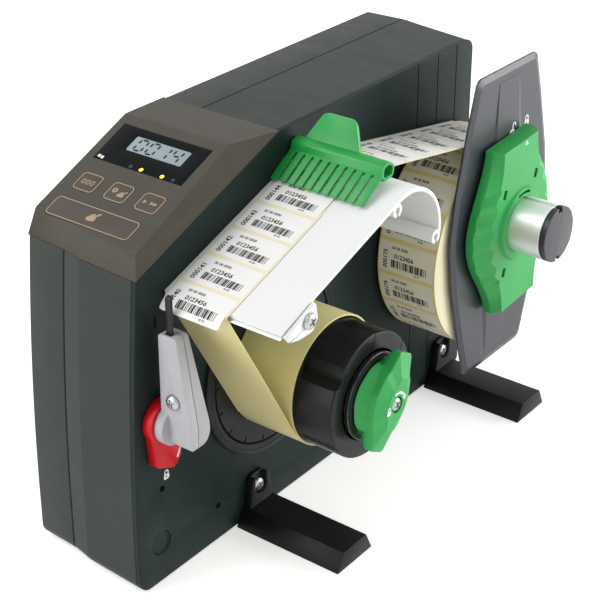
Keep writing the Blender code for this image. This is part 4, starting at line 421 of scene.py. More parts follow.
class Batch:
    """Many small solids gathered in one piece."""

    def __init__(self) -> None:
        """Start with an empty mesh."""
        self.shape = bmesh.new()

    def slab(self, loops: Sequence[Loop], low: float, high: float, edge: float = 0.0) -> None:
        """Add a slab in the batch's own frame."""
        add_slab(self.shape, loops, edge_layers(low, high, edge))

    def strip(self, sections: Sequence[Sequence[Triple]]) -> None:
        """Add a closed bar through ring sections."""
        rings = [[self.shape.verts.new(p) for p in section] for section in sections]
        add_skin(self.shape, rings)
        self.shape.faces.new(rings[0])
        self.shape.faces.new(rings[-1])

    def solid(self, points: Sequence[Triple], faces: Sequence[Sequence[int]]) -> None:
        """Add a ready mesh."""
        verts = [self.shape.verts.new(p) for p in points]
        for corners in faces:
            self.shape.faces.new([verts[i] for i in corners])

    def done(self, name: str, place: Matrix = Matrix()) -> Object:
        """Make the object."""
        return settle(self.shape, name, place)


# Plain digits

GlyphMesh = tuple[list[Vector], list[list[int]]]

CAP_HEIGHT = 0.72
BOLDER = 0.035
_GLYPHS: dict[tuple[str, float], GlyphMesh] = {}


def glyphs(text: str, height: float) -> GlyphMesh:
    """A line of plain digits as a thin mesh that starts at the origin.

    The strokes are a little bolder than the built-in letter's.

    Args:
        text: The digits.
        height: Height of a digit.

    Returns:
        Points and faces; the points' third value is 0 below and 1 above.
    """
    key = (text, height)
    if key not in _GLYPHS:
        curve = bpy.data.curves.new("digits", "FONT")
        curve.body = text
        curve.size = height / CAP_HEIGHT
        curve.resolution_u = 2
        curve.extrude = 0.5
        curve.offset = BOLDER * height
        holder = bpy.data.objects.new("digits", curve)
        bpy.context.scene.collection.objects.link(holder)
        bpy.context.view_layer.update()
        graph = bpy.context.evaluated_depsgraph_get()
        mesh = bpy.data.meshes.new_from_object(holder.evaluated_get(graph))
        shape = bmesh.new()
        shape.from_mesh(mesh)
        bmesh.ops.remove_doubles(shape, verts=shape.verts, dist=1e-5)
        shape.verts.index_update()
        points = [Vector((v.co.x, v.co.y, v.co.z + 0.5)) for v in shape.verts]
        faces = [[v.index for v in f.verts] for f in shape.faces]
        shape.free()
        bpy.data.objects.remove(holder, do_unlink=True)
        bpy.data.curves.remove(curve)
        bpy.data.meshes.remove(mesh)
        _GLYPHS[key] = (points, faces)
    return _GLYPHS[key]


# Materials

class Sketch:
    """Adds and joins nodes in one node tree."""

    def __init__(self, tree: bpy.types.NodeTree) -> None:
        """Work in a tree."""
        self.tree = tree

    def add(self, kind: str, values: dict | None = None, **settings) -> bpy.types.Node:
        """Add a node.

        Args:
            kind: Its type without the ShaderNode prefix.
            values: Input name or index to a value or an output socket.
            **settings: Properties of the node.

        Returns:
            The node.
        """
        node = self.tree.nodes.new("ShaderNode" + kind)
        node.location.x = 200.0 * len(self.tree.nodes)
        for name, value in settings.items():
            setattr(node, name, value)
        self.feed(node, values or {})
        return node

    def place(self, group: bpy.types.NodeTree, values: dict | None = None) -> bpy.types.Node:
        """Place a node group with its own values."""
        node = self.tree.nodes.new("ShaderNodeGroup")
        node.location.x = 200.0 * len(self.tree.nodes)
        node.node_tree = group
        self.feed(node, values or {})
        return node

    def feed(self, node: bpy.types.Node, values: dict) -> None:
        """Link or set a node's inputs."""
        for key, value in values.items():
            socket = node.inputs[key]
            if isinstance(value, bpy.types.NodeSocket):
                self.tree.links.new(value, socket)
            elif isinstance(value, tuple) and len(value) == 3 and socket.type == "RGBA":
                socket.default_value = (*value, 1.0)
            else:
                socket.default_value = value

    def maths(self, operation: str, first, second=0.0) -> bpy.types.NodeSocket:
        """A Math node's result."""
        return self.add("Math", {0: first, 1: second}, operation=operation).outputs[0]

    def blend(self, share, first, second) -> bpy.types.NodeSocket:
        """A colour mixed from two."""
        node = self.add("Mix", {0: share, 6: first, 7: second}, data_type="RGBA")
        return node.outputs[2]

    def stretch(self, value, low: float, high: float, to_low=0.0, to_high=1.0) -> bpy.types.NodeSocket:
        """A value mapped from one range to another, held at its ends."""
        keys = ("Value", "From Min", "From Max", "To Min", "To Max")
        return self.add("MapRange", dict(zip(keys, (value, low, high, to_low, to_high)))).outputs[0]


def new_group(name: str, inputs: Sequence[tuple[str, str, object]], outputs: Sequence[tuple[str, str]]
              ) -> tuple[Sketch, bpy.types.Node, bpy.types.Node]:
    """A shader node group with named sockets.

    Args:
        name: The group's name.
        inputs: (name, socket type, default or None) of each input.
        outputs: (name, socket type) of each output.

    Returns:
        A sketch of its tree, its input node and its output node.
    """
    tree = bpy.data.node_groups.new(name, "ShaderNodeTree")
    for label, kind, default in inputs:
        socket = tree.interface.new_socket(label, in_out="INPUT", socket_type="NodeSocket" + kind)
        if default is not None:
            socket.default_value = default
    for label, kind in outputs:
        tree.interface.new_socket(label, in_out="OUTPUT", socket_type="NodeSocket" + kind)
    return Sketch(tree), tree.nodes.new("NodeGroupInput"), tree.nodes.new("NodeGroupOutput")


def relief_group(name: str) -> tuple[Sketch, bpy.types.Node, bpy.types.Node]:
    """A group that turns a place and a scale into a relief and a slow mask."""
    return new_group(name, [("Vector", "Vector", None), ("Scale", "Float", 900.0)],
                     [("Height", "Float"), ("Mask", "Float")])


def grain_group() -> bpy.types.NodeTree:
    """Moulded or coated grain: fine pits over slow swells."""
    pen, into, out = relief_group("surface grain")
    fine = pen.add("TexNoise",
                   {"Vector": into.outputs[0], "Scale": into.outputs[1], "Detail": 3.0,
                    "Roughness": 0.6})
    pits = pen.add("TexVoronoi", {"Vector": into.outputs[0], "Scale": into.outputs[1]},
                   feature="SMOOTH_F1")
    coarse = pen.maths("MULTIPLY", into.outputs[1], 0.04)
    swell = pen.add("TexNoise", {"Vector": into.outputs[0], "Scale": coarse, "Detail": 2.0})
    height = pen.maths("ADD", fine.outputs[0], pits.outputs[0])
    height = pen.maths("ADD", height, swell.outputs[0])
    pen.feed(out, {0: pen.maths("DIVIDE", height, 3.0), 1: swell.outputs[0]})
    return pen.tree


def fibre_group() -> bpy.types.NodeTree:
    """Paper or card: short fibres in all directions with cloudy density."""
    pen, into, out = relief_group("paper fibre")
    heights = []
    for stretch in ((1.0, 4.0, 4.0), (4.0, 1.0, 1.4)):
        spread = pen.add("Mapping", {"Vector": into.outputs[0], "Scale": stretch})
        noise = pen.add("TexNoise",
                        {"Vector": spread.outputs[0], "Scale": into.outputs[1], "Detail": 4.0})
        heights.append(noise.outputs[0])
    coarse = pen.maths("MULTIPLY", into.outputs[1], 0.05)
    cloud = pen.add("TexNoise", {"Vector": into.outputs[0], "Scale": coarse, "Detail": 3.0})
    pen.feed(out, {0: pen.maths("MULTIPLY", heights[0], heights[1]), 1: cloud.outputs[0]})
    return pen.tree


def brush_group() -> bpy.types.NodeTree:
    """Metal drawn or turned across the machine: lines that run in rings about X."""
    pen, into, out = relief_group("brushed lines")
    spread = pen.add("Mapping", {"Vector": into.outputs[0], "Scale": (4.0, 0.25, 0.25)})
    lines = pen.add("TexNoise", {"Vector": spread.outputs[0], "Scale": into.outputs[1], "Detail": 5.0})
    coarse = pen.maths("MULTIPLY", into.outputs[1], 0.06)
    cloud = pen.add("TexNoise", {"Vector": into.outputs[0], "Scale": coarse, "Detail": 2.0})
    pen.feed(out, {0: lines.outputs[0], 1: cloud.outputs[0]})
    return pen.tree


def winding_group() -> bpy.types.NodeTree:
    """The edge of wound paper: fine rings about the supply roll's axis."""
    pen, into, out = relief_group("wound edges")
    centre = tuple((Vector((0.0, 298.0, 130.7)) + DATUM) * MM)
    arm = pen.add("VectorMath", {0: into.outputs[0], 1: centre}, operation="SUBTRACT")
    flat = pen.add("VectorMath", {0: arm.outputs[0], 1: (0.0, 1.0, 1.0)}, operation="MULTIPLY")
    radius = pen.add("VectorMath", {0: flat.outputs[0]}, operation="LENGTH").outputs["Value"]
    rings = pen.add("TexNoise", {"W": radius, "Scale": into.outputs[1], "Detail": 3.0},
                    noise_dimensions="1D")
    slow = pen.maths("MULTIPLY", into.outputs[1], 0.12)
    bands = pen.add("TexNoise", {"W": radius, "Scale": slow, "Detail": 2.0}, noise_dimensions="1D")
    pen.feed(out, {0: rings.outputs[0], 1: bands.outputs[0]})
    return pen.tree


class Pattern(Enum):
    """The kinds of fine relief that a finish may have."""

    GRAIN = "grain"
    FIBRE = "fibre"
    BRUSHED = "brushed"
    WOUND = "wound"


class Effects:
    """The shader node groups that the finishes share, each built once."""

    def __init__(self) -> None:
        """Build all groups."""
        self.relief = {
            Pattern.GRAIN: grain_group(), Pattern.FIBRE: fibre_group(),
            Pattern.BRUSHED: brush_group(), Pattern.WOUND: winding_group(),
        }
        self.tone = self.tone_group()
        self.wear = self.wear_group()
        self.dust = self.dust_group()
        self.sheen = self.sheen_group()

    @staticmethod
    def tone_group() -> bpy.types.NodeTree:
        """Two tones mixed by a soft mask."""
        pen, into, out = new_group("tone drift", [("Colour", "Color", None), ("Other", "Color", None),
                                                  ("Mask", "Float", 0.5)], [("Colour", "Color")])
        share = pen.stretch(into.outputs[2], 0.35, 0.65)
        pen.feed(out, {0: pen.blend(share, into.outputs[0], into.outputs[1])})
        return pen.tree

    @staticmethod
    def wear_group() -> bpy.types.NodeTree:
        """Rubbed edges, broken up by noise."""
        pen, into, out = new_group("edge wear", [("Colour", "Color", None), ("Rubbed", "Color", None),
                                                 ("Amount", "Float", 0.3), ("Vector", "Vector", None)],
                                   [("Colour", "Color")])
        true = pen.add("NewGeometry").outputs["Normal"]
        soft = pen.add("Bevel", {"Radius": 0.5 * MM}, samples=4).outputs[0]
        turned_by = pen.add("VectorMath", {0: true, 1: soft}, operation="DOT_PRODUCT").outputs["Value"]
        edge = pen.stretch(pen.maths("SUBTRACT", 1.0, turned_by), 0.01, 0.12)
        scuffs = pen.add("TexNoise", {"Vector": into.outputs[3], "Scale": 260.0, "Detail": 4.0})
        broken = pen.stretch(scuffs.outputs[0], 0.42, 0.62)
        mask = pen.maths("MULTIPLY", pen.maths("MULTIPLY", edge, broken), into.outputs[2])
        pen.feed(out, {0: pen.blend(mask, into.outputs[0], into.outputs[1])})
        return pen.tree

    @staticmethod
    def dust_group() -> bpy.types.NodeTree:
        """Faint dust on faces that look up."""
        pen, into, out = new_group("settled dust", [("Colour", "Color", None), ("Dust", "Color", None),
                                                    ("Amount", "Float", 0.1),
                                                    ("Vector", "Vector", None)],
                                   [("Colour", "Color")])
        geometry = pen.add("NewGeometry")
        normal = pen.add("SeparateXYZ", {0: geometry.outputs["Normal"]})
        upward = pen.stretch(normal.outputs[2], 0.5, 1.0)
        specks = pen.add("TexNoise",
                         {"Vector": into.outputs[3], "Scale": 700.0, "Detail": 5.0, "Roughness": 0.7})
        mask = pen.maths("MULTIPLY", upward, pen.stretch(specks.outputs[0], 0.45, 0.75))
        mask = pen.maths("MULTIPLY", mask, into.outputs[2])
        pen.feed(out, {0: pen.blend(mask, into.outputs[0], into.outputs[1])})
        return pen.tree

    @staticmethod
    def sheen_group() -> bpy.types.NodeTree:
        """Roughness that drifts with handling marks."""
        pen, into, out = new_group("sheen drift",
                                   [("Roughness", "Float", 0.5), ("Spread", "Float", 0.1),
                                    ("Vector", "Vector", None)], [("Roughness", "Float")])
        smear = pen.add("Mapping", {"Vector": into.outputs[2], "Scale": (1.0, 2.2, 0.7)})
        noise = pen.add("TexNoise",
                        {"Vector": smear.outputs[0], "Scale": 42.0, "Detail": 4.0, "Roughness": 0.6})
        offset = pen.maths("MULTIPLY", pen.maths("SUBTRACT", noise.outputs[0], 0.5), into.outputs[1])
        pen.feed(out, {0: pen.maths("ADD", into.outputs[0], offset)})
        return pen.tree


@dataclass(frozen=True)
class Finish:
    """How a surface looks: its two tones, sheen, fine relief, wear and dust."""

    slot: str
    colour: Colour
    other: Colour
    roughness: float = 0.5
    spread: float = 0.2
    metallic: float = 0.0
    pattern: Pattern = Pattern.GRAIN
    scale: float = 900.0
    relief: float = 0.25
    depth: float = 0.04
    rubbed: Colour = (0.3, 0.3, 0.3)
    wear: float = 0.15
    dust: float = 0.006
    specular: float = 0.25
    glow: float = 0.0

    def build(self, name: str, effects: Effects) -> bpy.types.Material:
        """Make the material.

        Args:
            name: Name of the material.
            effects: The shared node groups.

        Returns:
            The material.
        """
        made = bpy.data.materials.new(name)
        made.use_nodes = True
        made.node_tree.nodes.clear()
        pen = Sketch(made.node_tree)
        where = pen.add("TexCoord").outputs["Object"]
        relief = pen.place(effects.relief[self.pattern], {"Vector": where, "Scale": self.scale})
        tone = pen.place(effects.tone,
                         {"Colour": self.colour, "Other": self.other, "Mask": relief.outputs["Mask"]})
        wear = pen.place(effects.wear,
                         {"Colour": tone.outputs[0], "Rubbed": self.rubbed, "Amount": self.wear,
                          "Vector": where})
        dust = pen.place(effects.dust,
                         {"Colour": wear.outputs[0], "Dust": (0.5, 0.48, 0.44), "Amount": self.dust,
                          "Vector": where})
        sheen = pen.place(effects.sheen,
                          {"Roughness": self.roughness, "Spread": self.spread, "Vector": where})
        bump = pen.add("Bump", {"Strength": self.relief, "Distance": self.depth * MM,
                                "Height": relief.outputs["Height"]})
        shader = pen.add("BsdfPrincipled", {
            "Base Color": dust.outputs[0], "Roughness": sheen.outputs[0], "Metallic": self.metallic,
            "Normal": bump.outputs[0],
            "Specular IOR Level": self.specular,
        })
        if self.glow:
            pen.feed(shader, {"Emission Color": self.colour, "Emission Strength": self.glow})
        pen.add("OutputMaterial", {0: shader.outputs[0]})
        return made


def paper(slot: str, colour: Colour, other: Colour, roughness: float = 0.42, spread: float = 0.1,
          scale: float = 700.0, relief: float = 0.12) -> Finish:
    """A clean fibrous finish for labels, liner and print."""
    return Finish(slot, colour, other, roughness, spread, pattern=Pattern.FIBRE, scale=scale,
                  relief=relief, wear=0.0, dust=0.0)


class Look(Enum):
    """The finishes found on the machine, some of them lit or shaded copies that carry painted light and shade."""

    COVER = Finish("housing", (0.035, 0.042, 0.037), (0.038, 0.045, 0.04), 0.46, scale=1500.0,
                   relief=0.3, rubbed=(0.16, 0.17, 0.16), wear=0.25, specular=0.12)
    # Painted shade: the cover's coat darkened because the wall faces away from the light.
    WALL = Finish("housing", (0.014, 0.024, 0.023), (0.016, 0.027, 0.025), 0.44, scale=1500.0,
                  relief=0.3, rubbed=(0.1, 0.11, 0.1), wear=0.25, specular=0.1)
    PANEL = Finish("panel", (0.078, 0.072, 0.06), (0.082, 0.076, 0.063), 0.48, scale=1800.0,
                   relief=0.25, rubbed=(0.2, 0.19, 0.16), specular=0.12)
    KEY = Finish("key", (0.086, 0.075, 0.061), (0.09, 0.079, 0.065), 0.42, scale=2400.0,
                 relief=0.15, specular=0.12)
    LEGEND = Finish("key", (0.4, 0.29, 0.185), (0.42, 0.31, 0.2), 0.55, scale=2400.0, relief=0.1,
                    wear=0.0)
    WINDOW = Finish("window", (0.005, 0.007, 0.008), (0.007, 0.009, 0.01), 0.2, 0.08, scale=600.0,
                    relief=0.02, rubbed=(0.05, 0.05, 0.05), specular=0.06, dust=0.0)
    GLASS = Finish("lcd", (0.28, 0.35, 0.37), (0.31, 0.38, 0.4), 0.3, 0.1, scale=500.0, relief=0.03,
                   wear=0.0)
    SEGMENT = Finish("lcd", (0.008, 0.012, 0.022), (0.011, 0.016, 0.027), 0.35, scale=900.0,
                     relief=0.02, wear=0.0)
    LAMP_ON = Finish("window", (1.0, 0.55, 0.03), (1.0, 0.62, 0.06), 0.3, scale=900.0, relief=0.02,
                     wear=0.0, dust=0.0, glow=1.6)
    LAMP_OFF = Finish("window", (0.03, 0.035, 0.05), (0.035, 0.04, 0.06), 0.3, scale=900.0,
                      relief=0.02, wear=0.0)
    MARK = Finish("label", (0.8, 0.8, 0.79), (0.85, 0.85, 0.84), 0.5, scale=1500.0, relief=0.05,
                  wear=0.0)
    CIRCUIT = Finish("circuit", (0.02, 0.11, 0.05), (0.03, 0.14, 0.06), 0.4, scale=1200.0)
    BLACK = Finish("black", (0.006, 0.0065, 0.0075), (0.008, 0.0085, 0.0095), 0.3, scale=1600.0,
                   relief=0.2, rubbed=(0.09, 0.09, 0.09), wear=0.35, specular=0.2)
    FLANGE = Finish("black", (0.013, 0.016, 0.018), (0.016, 0.019, 0.021), 0.38, scale=1600.0,
                    relief=0.2, rubbed=(0.09, 0.09, 0.09), wear=0.35, specular=0.15)
    # Painted shade: near-black sheets laid in grooves and notches where only shade falls.
    RECESS = Finish("black", (0.002, 0.002, 0.002), (0.003, 0.003, 0.003), 0.7, wear=0.0, dust=0.0,
                    specular=0.05)
    FOOT = Finish("black", (0.005, 0.0055, 0.006), (0.007, 0.0075, 0.008), 0.4, scale=1600.0,
                  relief=0.3, rubbed=(0.05, 0.05, 0.05), wear=0.3, specular=0.2)
    FEELER = Finish("black", (0.012, 0.012, 0.014), (0.015, 0.015, 0.017), 0.4, scale=1600.0,
                    relief=0.2)
    GREEN = Finish("green", (0.009, 0.31, 0.05), (0.012, 0.34, 0.058), 0.32, 0.12, scale=1700.0,
                   relief=0.25, rubbed=(0.2, 0.6, 0.26), wear=0.3, specular=0.45)
    HUB = Finish("green", (0.009, 0.33, 0.055), (0.014, 0.36, 0.066), 0.45, 0.12, scale=1300.0,
                 relief=0.6, depth=0.09, rubbed=(0.25, 0.62, 0.3), wear=0.35, dust=0.01, specular=0.55)
    WHITE = Finish("white", (0.84, 0.845, 0.84), (0.85, 0.855, 0.85), 0.4, 0.1, scale=900.0,
                   relief=0.08, rubbed=(0.7, 0.7, 0.7), wear=0.1, dust=0.0)
    LABEL = paper("label", (0.87, 0.87, 0.85), (0.89, 0.89, 0.87))
    # Painted shade: the label paper darkened and warmed, as it looks in the roll's shade and the liner's bounce
    # light.
    ROLL_LABEL = paper("label", (0.84, 0.8, 0.68), (0.87, 0.83, 0.71))
    INK = paper("label", (0.012, 0.011, 0.013), (0.02, 0.018, 0.021), 0.6, 0.2, 1500.0, 0.1)
    LINER = paper("liner", (0.8, 0.72, 0.34), (0.84, 0.76, 0.39), 0.35, 0.2, 500.0)
    # Painted light: the liner paled, as it looks where the light falls on the plate.
    STRIP_LINER = paper("liner", (0.84, 0.78, 0.56), (0.87, 0.81, 0.6), 0.35, 0.2, 500.0)
    # Painted shade: the liner tinted a deeper gold, as it looks in the roll's shade.
    ROLL_LINER = paper("liner", (0.82, 0.66, 0.28), (0.85, 0.7, 0.33), 0.35, 0.2, 500.0)
    WOUND = Finish("label", (0.87, 0.78, 0.52), (0.9, 0.83, 0.6), 0.6, pattern=Pattern.WOUND,
                   scale=3000.0, relief=0.5, depth=0.15, wear=0.0, dust=0.0)
    CARD = Finish("card", (0.42, 0.3, 0.17), (0.5, 0.37, 0.22), 0.85, pattern=Pattern.FIBRE,
                  scale=400.0, relief=0.4, wear=0.1)
    SENSOR = Finish("sensor", (0.42, 0.42, 0.44), (0.445, 0.445, 0.465), 0.42, 0.12, scale=1700.0,
                    relief=0.22, rubbed=(0.7, 0.7, 0.7), dust=0.004)
    RED = Finish("red", (0.55, 0.004, 0.009), (0.6, 0.006, 0.012), 0.32, 0.12, scale=1700.0, relief=0.2,
                 rubbed=(0.75, 0.1, 0.08), dust=0.002)
    SLATE = Finish("slate", (0.026, 0.028, 0.036), (0.03, 0.032, 0.04), 0.33, 0.12, scale=1500.0,
                   relief=0.25, rubbed=(0.3, 0.31, 0.33), wear=0.4, specular=0.5)
    STEEL = Finish("steel", (0.42, 0.43, 0.45), (0.5, 0.51, 0.52), 0.3, 0.15, 1.0, Pattern.BRUSHED,
                   900.0, 0.12, rubbed=(0.8, 0.8, 0.8), dust=0.0)
    # Partly painted highlight: the light rubbed colour on its edges stands for edge wear and for thin glints along
    # the raised rings.
    DARK_STEEL = Finish("steel", (0.03, 0.028, 0.028), (0.04, 0.037, 0.037), 0.3, 0.15, 0.6,
                        Pattern.BRUSHED, 900.0, 0.12, rubbed=(0.6, 0.56, 0.53), wear=0.5, dust=0.0)
    ALUMINIUM = Finish("aluminium", (0.72, 0.76, 0.73), (0.78, 0.82, 0.79), 0.42, 0.12, 1.0,
                       Pattern.BRUSHED, 700.0, 0.15, rubbed=(0.85, 0.86, 0.85), dust=0.0)
    RUBBER = Finish("rubber", (0.018, 0.018, 0.018), (0.026, 0.026, 0.026), 0.85, scale=900.0,
                    relief=0.5, depth=0.08, rubbed=(0.06, 0.06, 0.06))


class Palette:
    """Makes each material when it is first asked for."""

    def __init__(self) -> None:
        """Start with the shared effects and no materials."""
        self.effects = Effects()
        self.made: dict[Look, bpy.types.Material] = {}

    def material(self, look: Look) -> bpy.types.Material:
        """The material of a look."""
        if look not in self.made:
            self.made[look] = look.value.build(look.name.lower(), self.effects)
        return self.made[look]


@dataclass
class Assembly:
    """A group of pieces that are built and dressed together."""

    palette: Palette

    def fit(self, piece: Object, look: Look, body: str = "housing",
            nodes: Sequence[str] = ()) -> Object:
        """Finish a piece and tie it to the frame.

        Args:
            piece: The piece, in place.
            look: Its finish.
            body: The body it moves with.
            nodes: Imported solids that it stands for.

        Returns:
            The piece.
        """
        piece.data.materials.clear()
        piece.data.materials.append(self.palette.material(look))
        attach(piece, body)
        if nodes:
            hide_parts(*nodes)
        LOG.info("%s: %d faces on %s", piece.name, len(piece.data.polygons), body)
        return piece

    def dress(self, look: Look, *nodes: str) -> None:
        """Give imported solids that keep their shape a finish."""
        for node in nodes:
            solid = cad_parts[node]
            for slot in solid.material_slots:
                slot.material = self.palette.material(look)
            LOG.info("%s: kept solid, %s", node, look.name.lower())

    def screw(self, node: str, name: str, place: Matrix, radius: float, head: float, shank: Point,
              body: str = "housing") -> Object:
        """A pan head screw with a cross recess in place of a packed one.

        Args:
            node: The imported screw.
            name: Name of the new piece.
            place: Frame at the head's seat, w outward.
            radius: Head radius.
            head: Head height.
            shank: Shank radius and length.
            body: The body it rides on.

        Returns:
            The screw.
        """
        shares = ((0.0, 1.0), (0.5, 0.96), (0.76, 0.84), (0.92, 0.6), (0.99, 0.3), (1.0, 0.12),
                  (0.99, 0.0))
        profile = [(radius * r, head * h) for r, h in shares]
        profile += [(shank[0], 0.0), (shank[0], -shank[1]), (0.0, -shank[1])]
        piece = turned(name, profile, place, 40)
        arm = (radius * 1.15, radius * 0.26, head)
        cuts = [box(f"{name}_cut_{i}", arm, (0.0, 0.0, head), place @ Matrix.Rotation(angle, 4, "Z"))
                for i, angle in enumerate((RECESS_TURN, RECESS_TURN + math.pi / 2))]
        return self.fit(carved(piece, cuts), Look.STEEL, body, [node])


# Housing

@dataclass
class Housing(Assembly):
    """The wall, the wrap-round cover, the left cover and what sits in them."""

    width: float = 90.0
    top: float = 253.5
    base: float = 1.5
    rear: float = 338.5
    thickness: float = 3.0
    fit_gap: float = 0.3
    front: float = -8.6
    bow: float = 9.0
    bow_start: float = 36.0
    seam_front: float = 206.0
    seam_back: float = 126.0
    shell: float = 2.5
    facet: tuple[float, float, float] = (45.0, 2.2, 7.0)
    seam: tuple[float, float, float] = (60.0, 5.5, 10.0)
    left: tuple[float, float, float] = (88.4, 7.0, 8.5)
    chamfer: float = 1.4
    grooves: tuple[float, ...] = (272.0, 295.5, 318.0)
    plug: Triple = (11.2, 28.2, 7.4)
    roundings: Triple = (8.0, 5.0, 9.0)
    slot: tuple[float, float, float, float] = (13.2, 172.3, 14.8, 180.3)
    holes: tuple[Point, ...] = ((13.8, 65.5), (63.0, 25.7))
    hole_radius: float = 2.0
    openings: tuple[Triple, ...] = ((27.6, 20.2, 44.0), (13.2, 19.2, 78.0))
    opening_x: float = -27.0
    lock_mark: Point = (17.6, 73.5)

    def lean(self, z: float) -> float:
        """How far the bowed front lies back at a height."""
        rise = self.seam_front - self.bow_start
        radius = (rise ** 2 + self.bow ** 2) / (2 * self.bow)
        return radius - math.sqrt(radius ** 2 - max(z - self.bow_start, 0.0) ** 2)

    def outline(self, inset: float, rear: float, shrink: float = 0.0) -> Loop:
        """Side view from the seam's back over rear and base to the seam's front.

        Args:
            inset: How far the front is set back.
            rear: Y of the rear.
            shrink: How far top and base are drawn in.

        Returns:
            The outline, closed by the slanted seam.
        """
        front = self.front + inset
        top, base = self.top - shrink, self.base + shrink
        above, below, toe = self.roundings
        points = [(self.seam_back, top)]
        points += arc((rear - above, top - above), above, math.pi / 2, 0.0, 14)
        points += arc((rear - below, base + below), below, 0.0, -math.pi / 2, 14)
        points += arc((front + toe, base + toe), toe, -math.pi / 2, -math.pi, 14)
        rise = self.seam_front - self.bow_start
        heights = [self.bow_start + rise * i / 30 for i in range(31)]
        return points + [(front + self.lean(z), z) for z in heights]

    def stations(self, table: Sequence[tuple[float, float, float, float]]) -> list[list[Triple]]:
        """Sections of a cover at (x, inset, rear growth, shrink)."""
        return [[(-x, y, z) for y, z in self.outline(inset, self.rear + grow, shrink)]
                for x, inset, grow, shrink in table]

    def build(self) -> None:
        """Build and dress the housing."""
        self.build_wall()
        self.build_covers()
        self.build_plug()
        self.build_marks()
        self.dress(Look.STEEL, "comb_pin", "sensor_stud", "wall_bearing", "tail_bearing",
                   "motor_bracket", "gear_motor", "spindle_bolt", "rewinder_shaft")
        self.dress(Look.ALUMINIUM, "bearing_block", "spindle_base")
        self.dress(Look.CIRCUIT, "power_supply", "control_board")
        self.dress(Look.WHITE, "driven_pulley", "motor_pulley")
        self.dress(Look.RUBBER, "drive_belt", "front_rubber_foot", "rear_rubber_foot")

    def build_wall(self) -> None:
        """The mechanism plate with its grooves and holes, in the cover's coat darkened by painted shade."""
        y0, z0, y1, z1 = self.slot
        holes = [circle(spot, self.hole_radius) for spot in self.holes]
        holes += [[(y0, z0), (y1, z0), (y1, z1), (y0, z1)],
                  circle(self.plug[:2], self.plug[2] + self.fit_gap, 48)]
        wall = prism("mechanism_wall", [self.outline(0.0, self.rear), *holes], -self.thickness, 0.0,
                     edge=0.5)
        cuts = [box(f"groove_{i}", (1.6, 1.0, 600.0), (0.0, y, 0.0))
                for i, y in enumerate(self.grooves)]
        self.fit(carved(wall, cuts), Look.WALL, nodes=["side_wall"])

    def build_covers(self) -> None:
        """The two shells of the housing, with eased rims at the seams."""
        near = self.thickness + self.fit_gap
        ease = 0.5
        cover = lofted("wrap_cover", self.stations((
            (near, ease, -ease, ease), (near + ease, 0.0, 0.0, 0.0), (*self.facet, 0.0),
            (self.seam[0] - 0.8, self.seam[1] - 0.1, self.seam[2], 0.0),
            (self.seam[0] - 0.3, self.seam[1] + 0.4, self.seam[2] - ease, ease),
        )), sharp=9.0, capped=(False, False), closed=False)
        walled(cover, self.shell)
        angle = math.atan2(self.facet[2], self.facet[0] - near)
        across = (-self.opening_x - near) / (self.facet[0] - near)
        openings = []
        for i, (wide, high, level) in enumerate(self.openings):
            spot = (self.opening_x, self.rear + self.facet[2] * across, level)
            openings.append(box(f"opening_{i}", (wide, 20.0, high), spot,
                                Matrix.Translation(spot) @ Matrix.Rotation(-angle, 4, "Z")
                                @ Matrix.Translation(-Vector(spot))))
        self.fit(carved(cover, openings, sharp=9.0), Look.COVER, nodes=["main_cover"])
        closed = lofted("end_cover", self.stations((
            (self.seam[0] + 0.3, self.seam[1] + 0.45, self.seam[2] - ease, ease),
            (self.seam[0] + 0.8, self.seam[1], self.seam[2], 0.0),
            (*self.left, 0.0), (self.left[0] + 0.5, self.left[1] + 0.2, self.left[2] - 0.2, 0.2),
            (self.width, self.left[1] + self.chamfer, self.left[2] - self.chamfer, self.chamfer),
        )), sharp=20.0, capped=(False, True), closed=False)
        self.fit(walled(closed, self.shell), Look.COVER, nodes=["left_cover"])

    def build_plug(self) -> None:
        """The blind cap in the spare hole, in the wall's coat darkened by painted shade."""
        y, z, radius = self.plug
        profile = [(0.0, -1.1), (radius - 1.6, -1.0), (radius - 1.2, -0.5), (radius - 0.5, -0.35),
                   (radius, -0.8), (radius, -3.0), (radius - 1.0, -4.0), (0.0, -4.0)]
        self.fit(turned("hole_cap", profile, side_frame(y, z), 48), Look.WALL, nodes=["hole_plug"])

    def build_marks(self) -> None:
        """The small lock mark on the wall below the sensor's lever."""
        marks = Batch()
        padlock(marks, 0.9, 0.0, 0.04, shut=True)
        self.fit(marks.done("wall_lock_mark", side_frame(*self.lock_mark)), Look.MARK)


def padlock(marks: Batch, size: float, low: float, high: float, shut: bool,
            centre: Point = (0.0, 0.0)) -> None:
    """Add a padlock sign.

    Args:
        marks: Where it goes.
        size: Scale of the sign.
        low: Height of its underside.
        high: Height of its face.
        shut: Whether the shackle is closed.
        centre: Middle of the sign.
    """
    u, v = centre
    body = panel(5.2 * size, 4.0 * size, 1.6 * size, (u, v - 1.6 * size))
    marks.slab([body, circle((u, v - 1.5 * size), 0.75 * size, 16)], low, high)
    if shut:
        path = [(u - 1.6 * size, v + 0.2 * size)]
        path += arc((u, v + 1.6 * size), 1.6 * size, math.pi, 0.0, 12)
        path += [(u + 1.6 * size, v + 0.2 * size)]
    else:
        path = [(u + 0.6 * size, v + 0.2 * size)]
        path += arc((u + 2.3 * size, v + 2.6 * size), 1.6 * size, math.pi, -0.4, 12)
    marks.slab([band(path, 0.95 * size)], low, high)


# Control panel

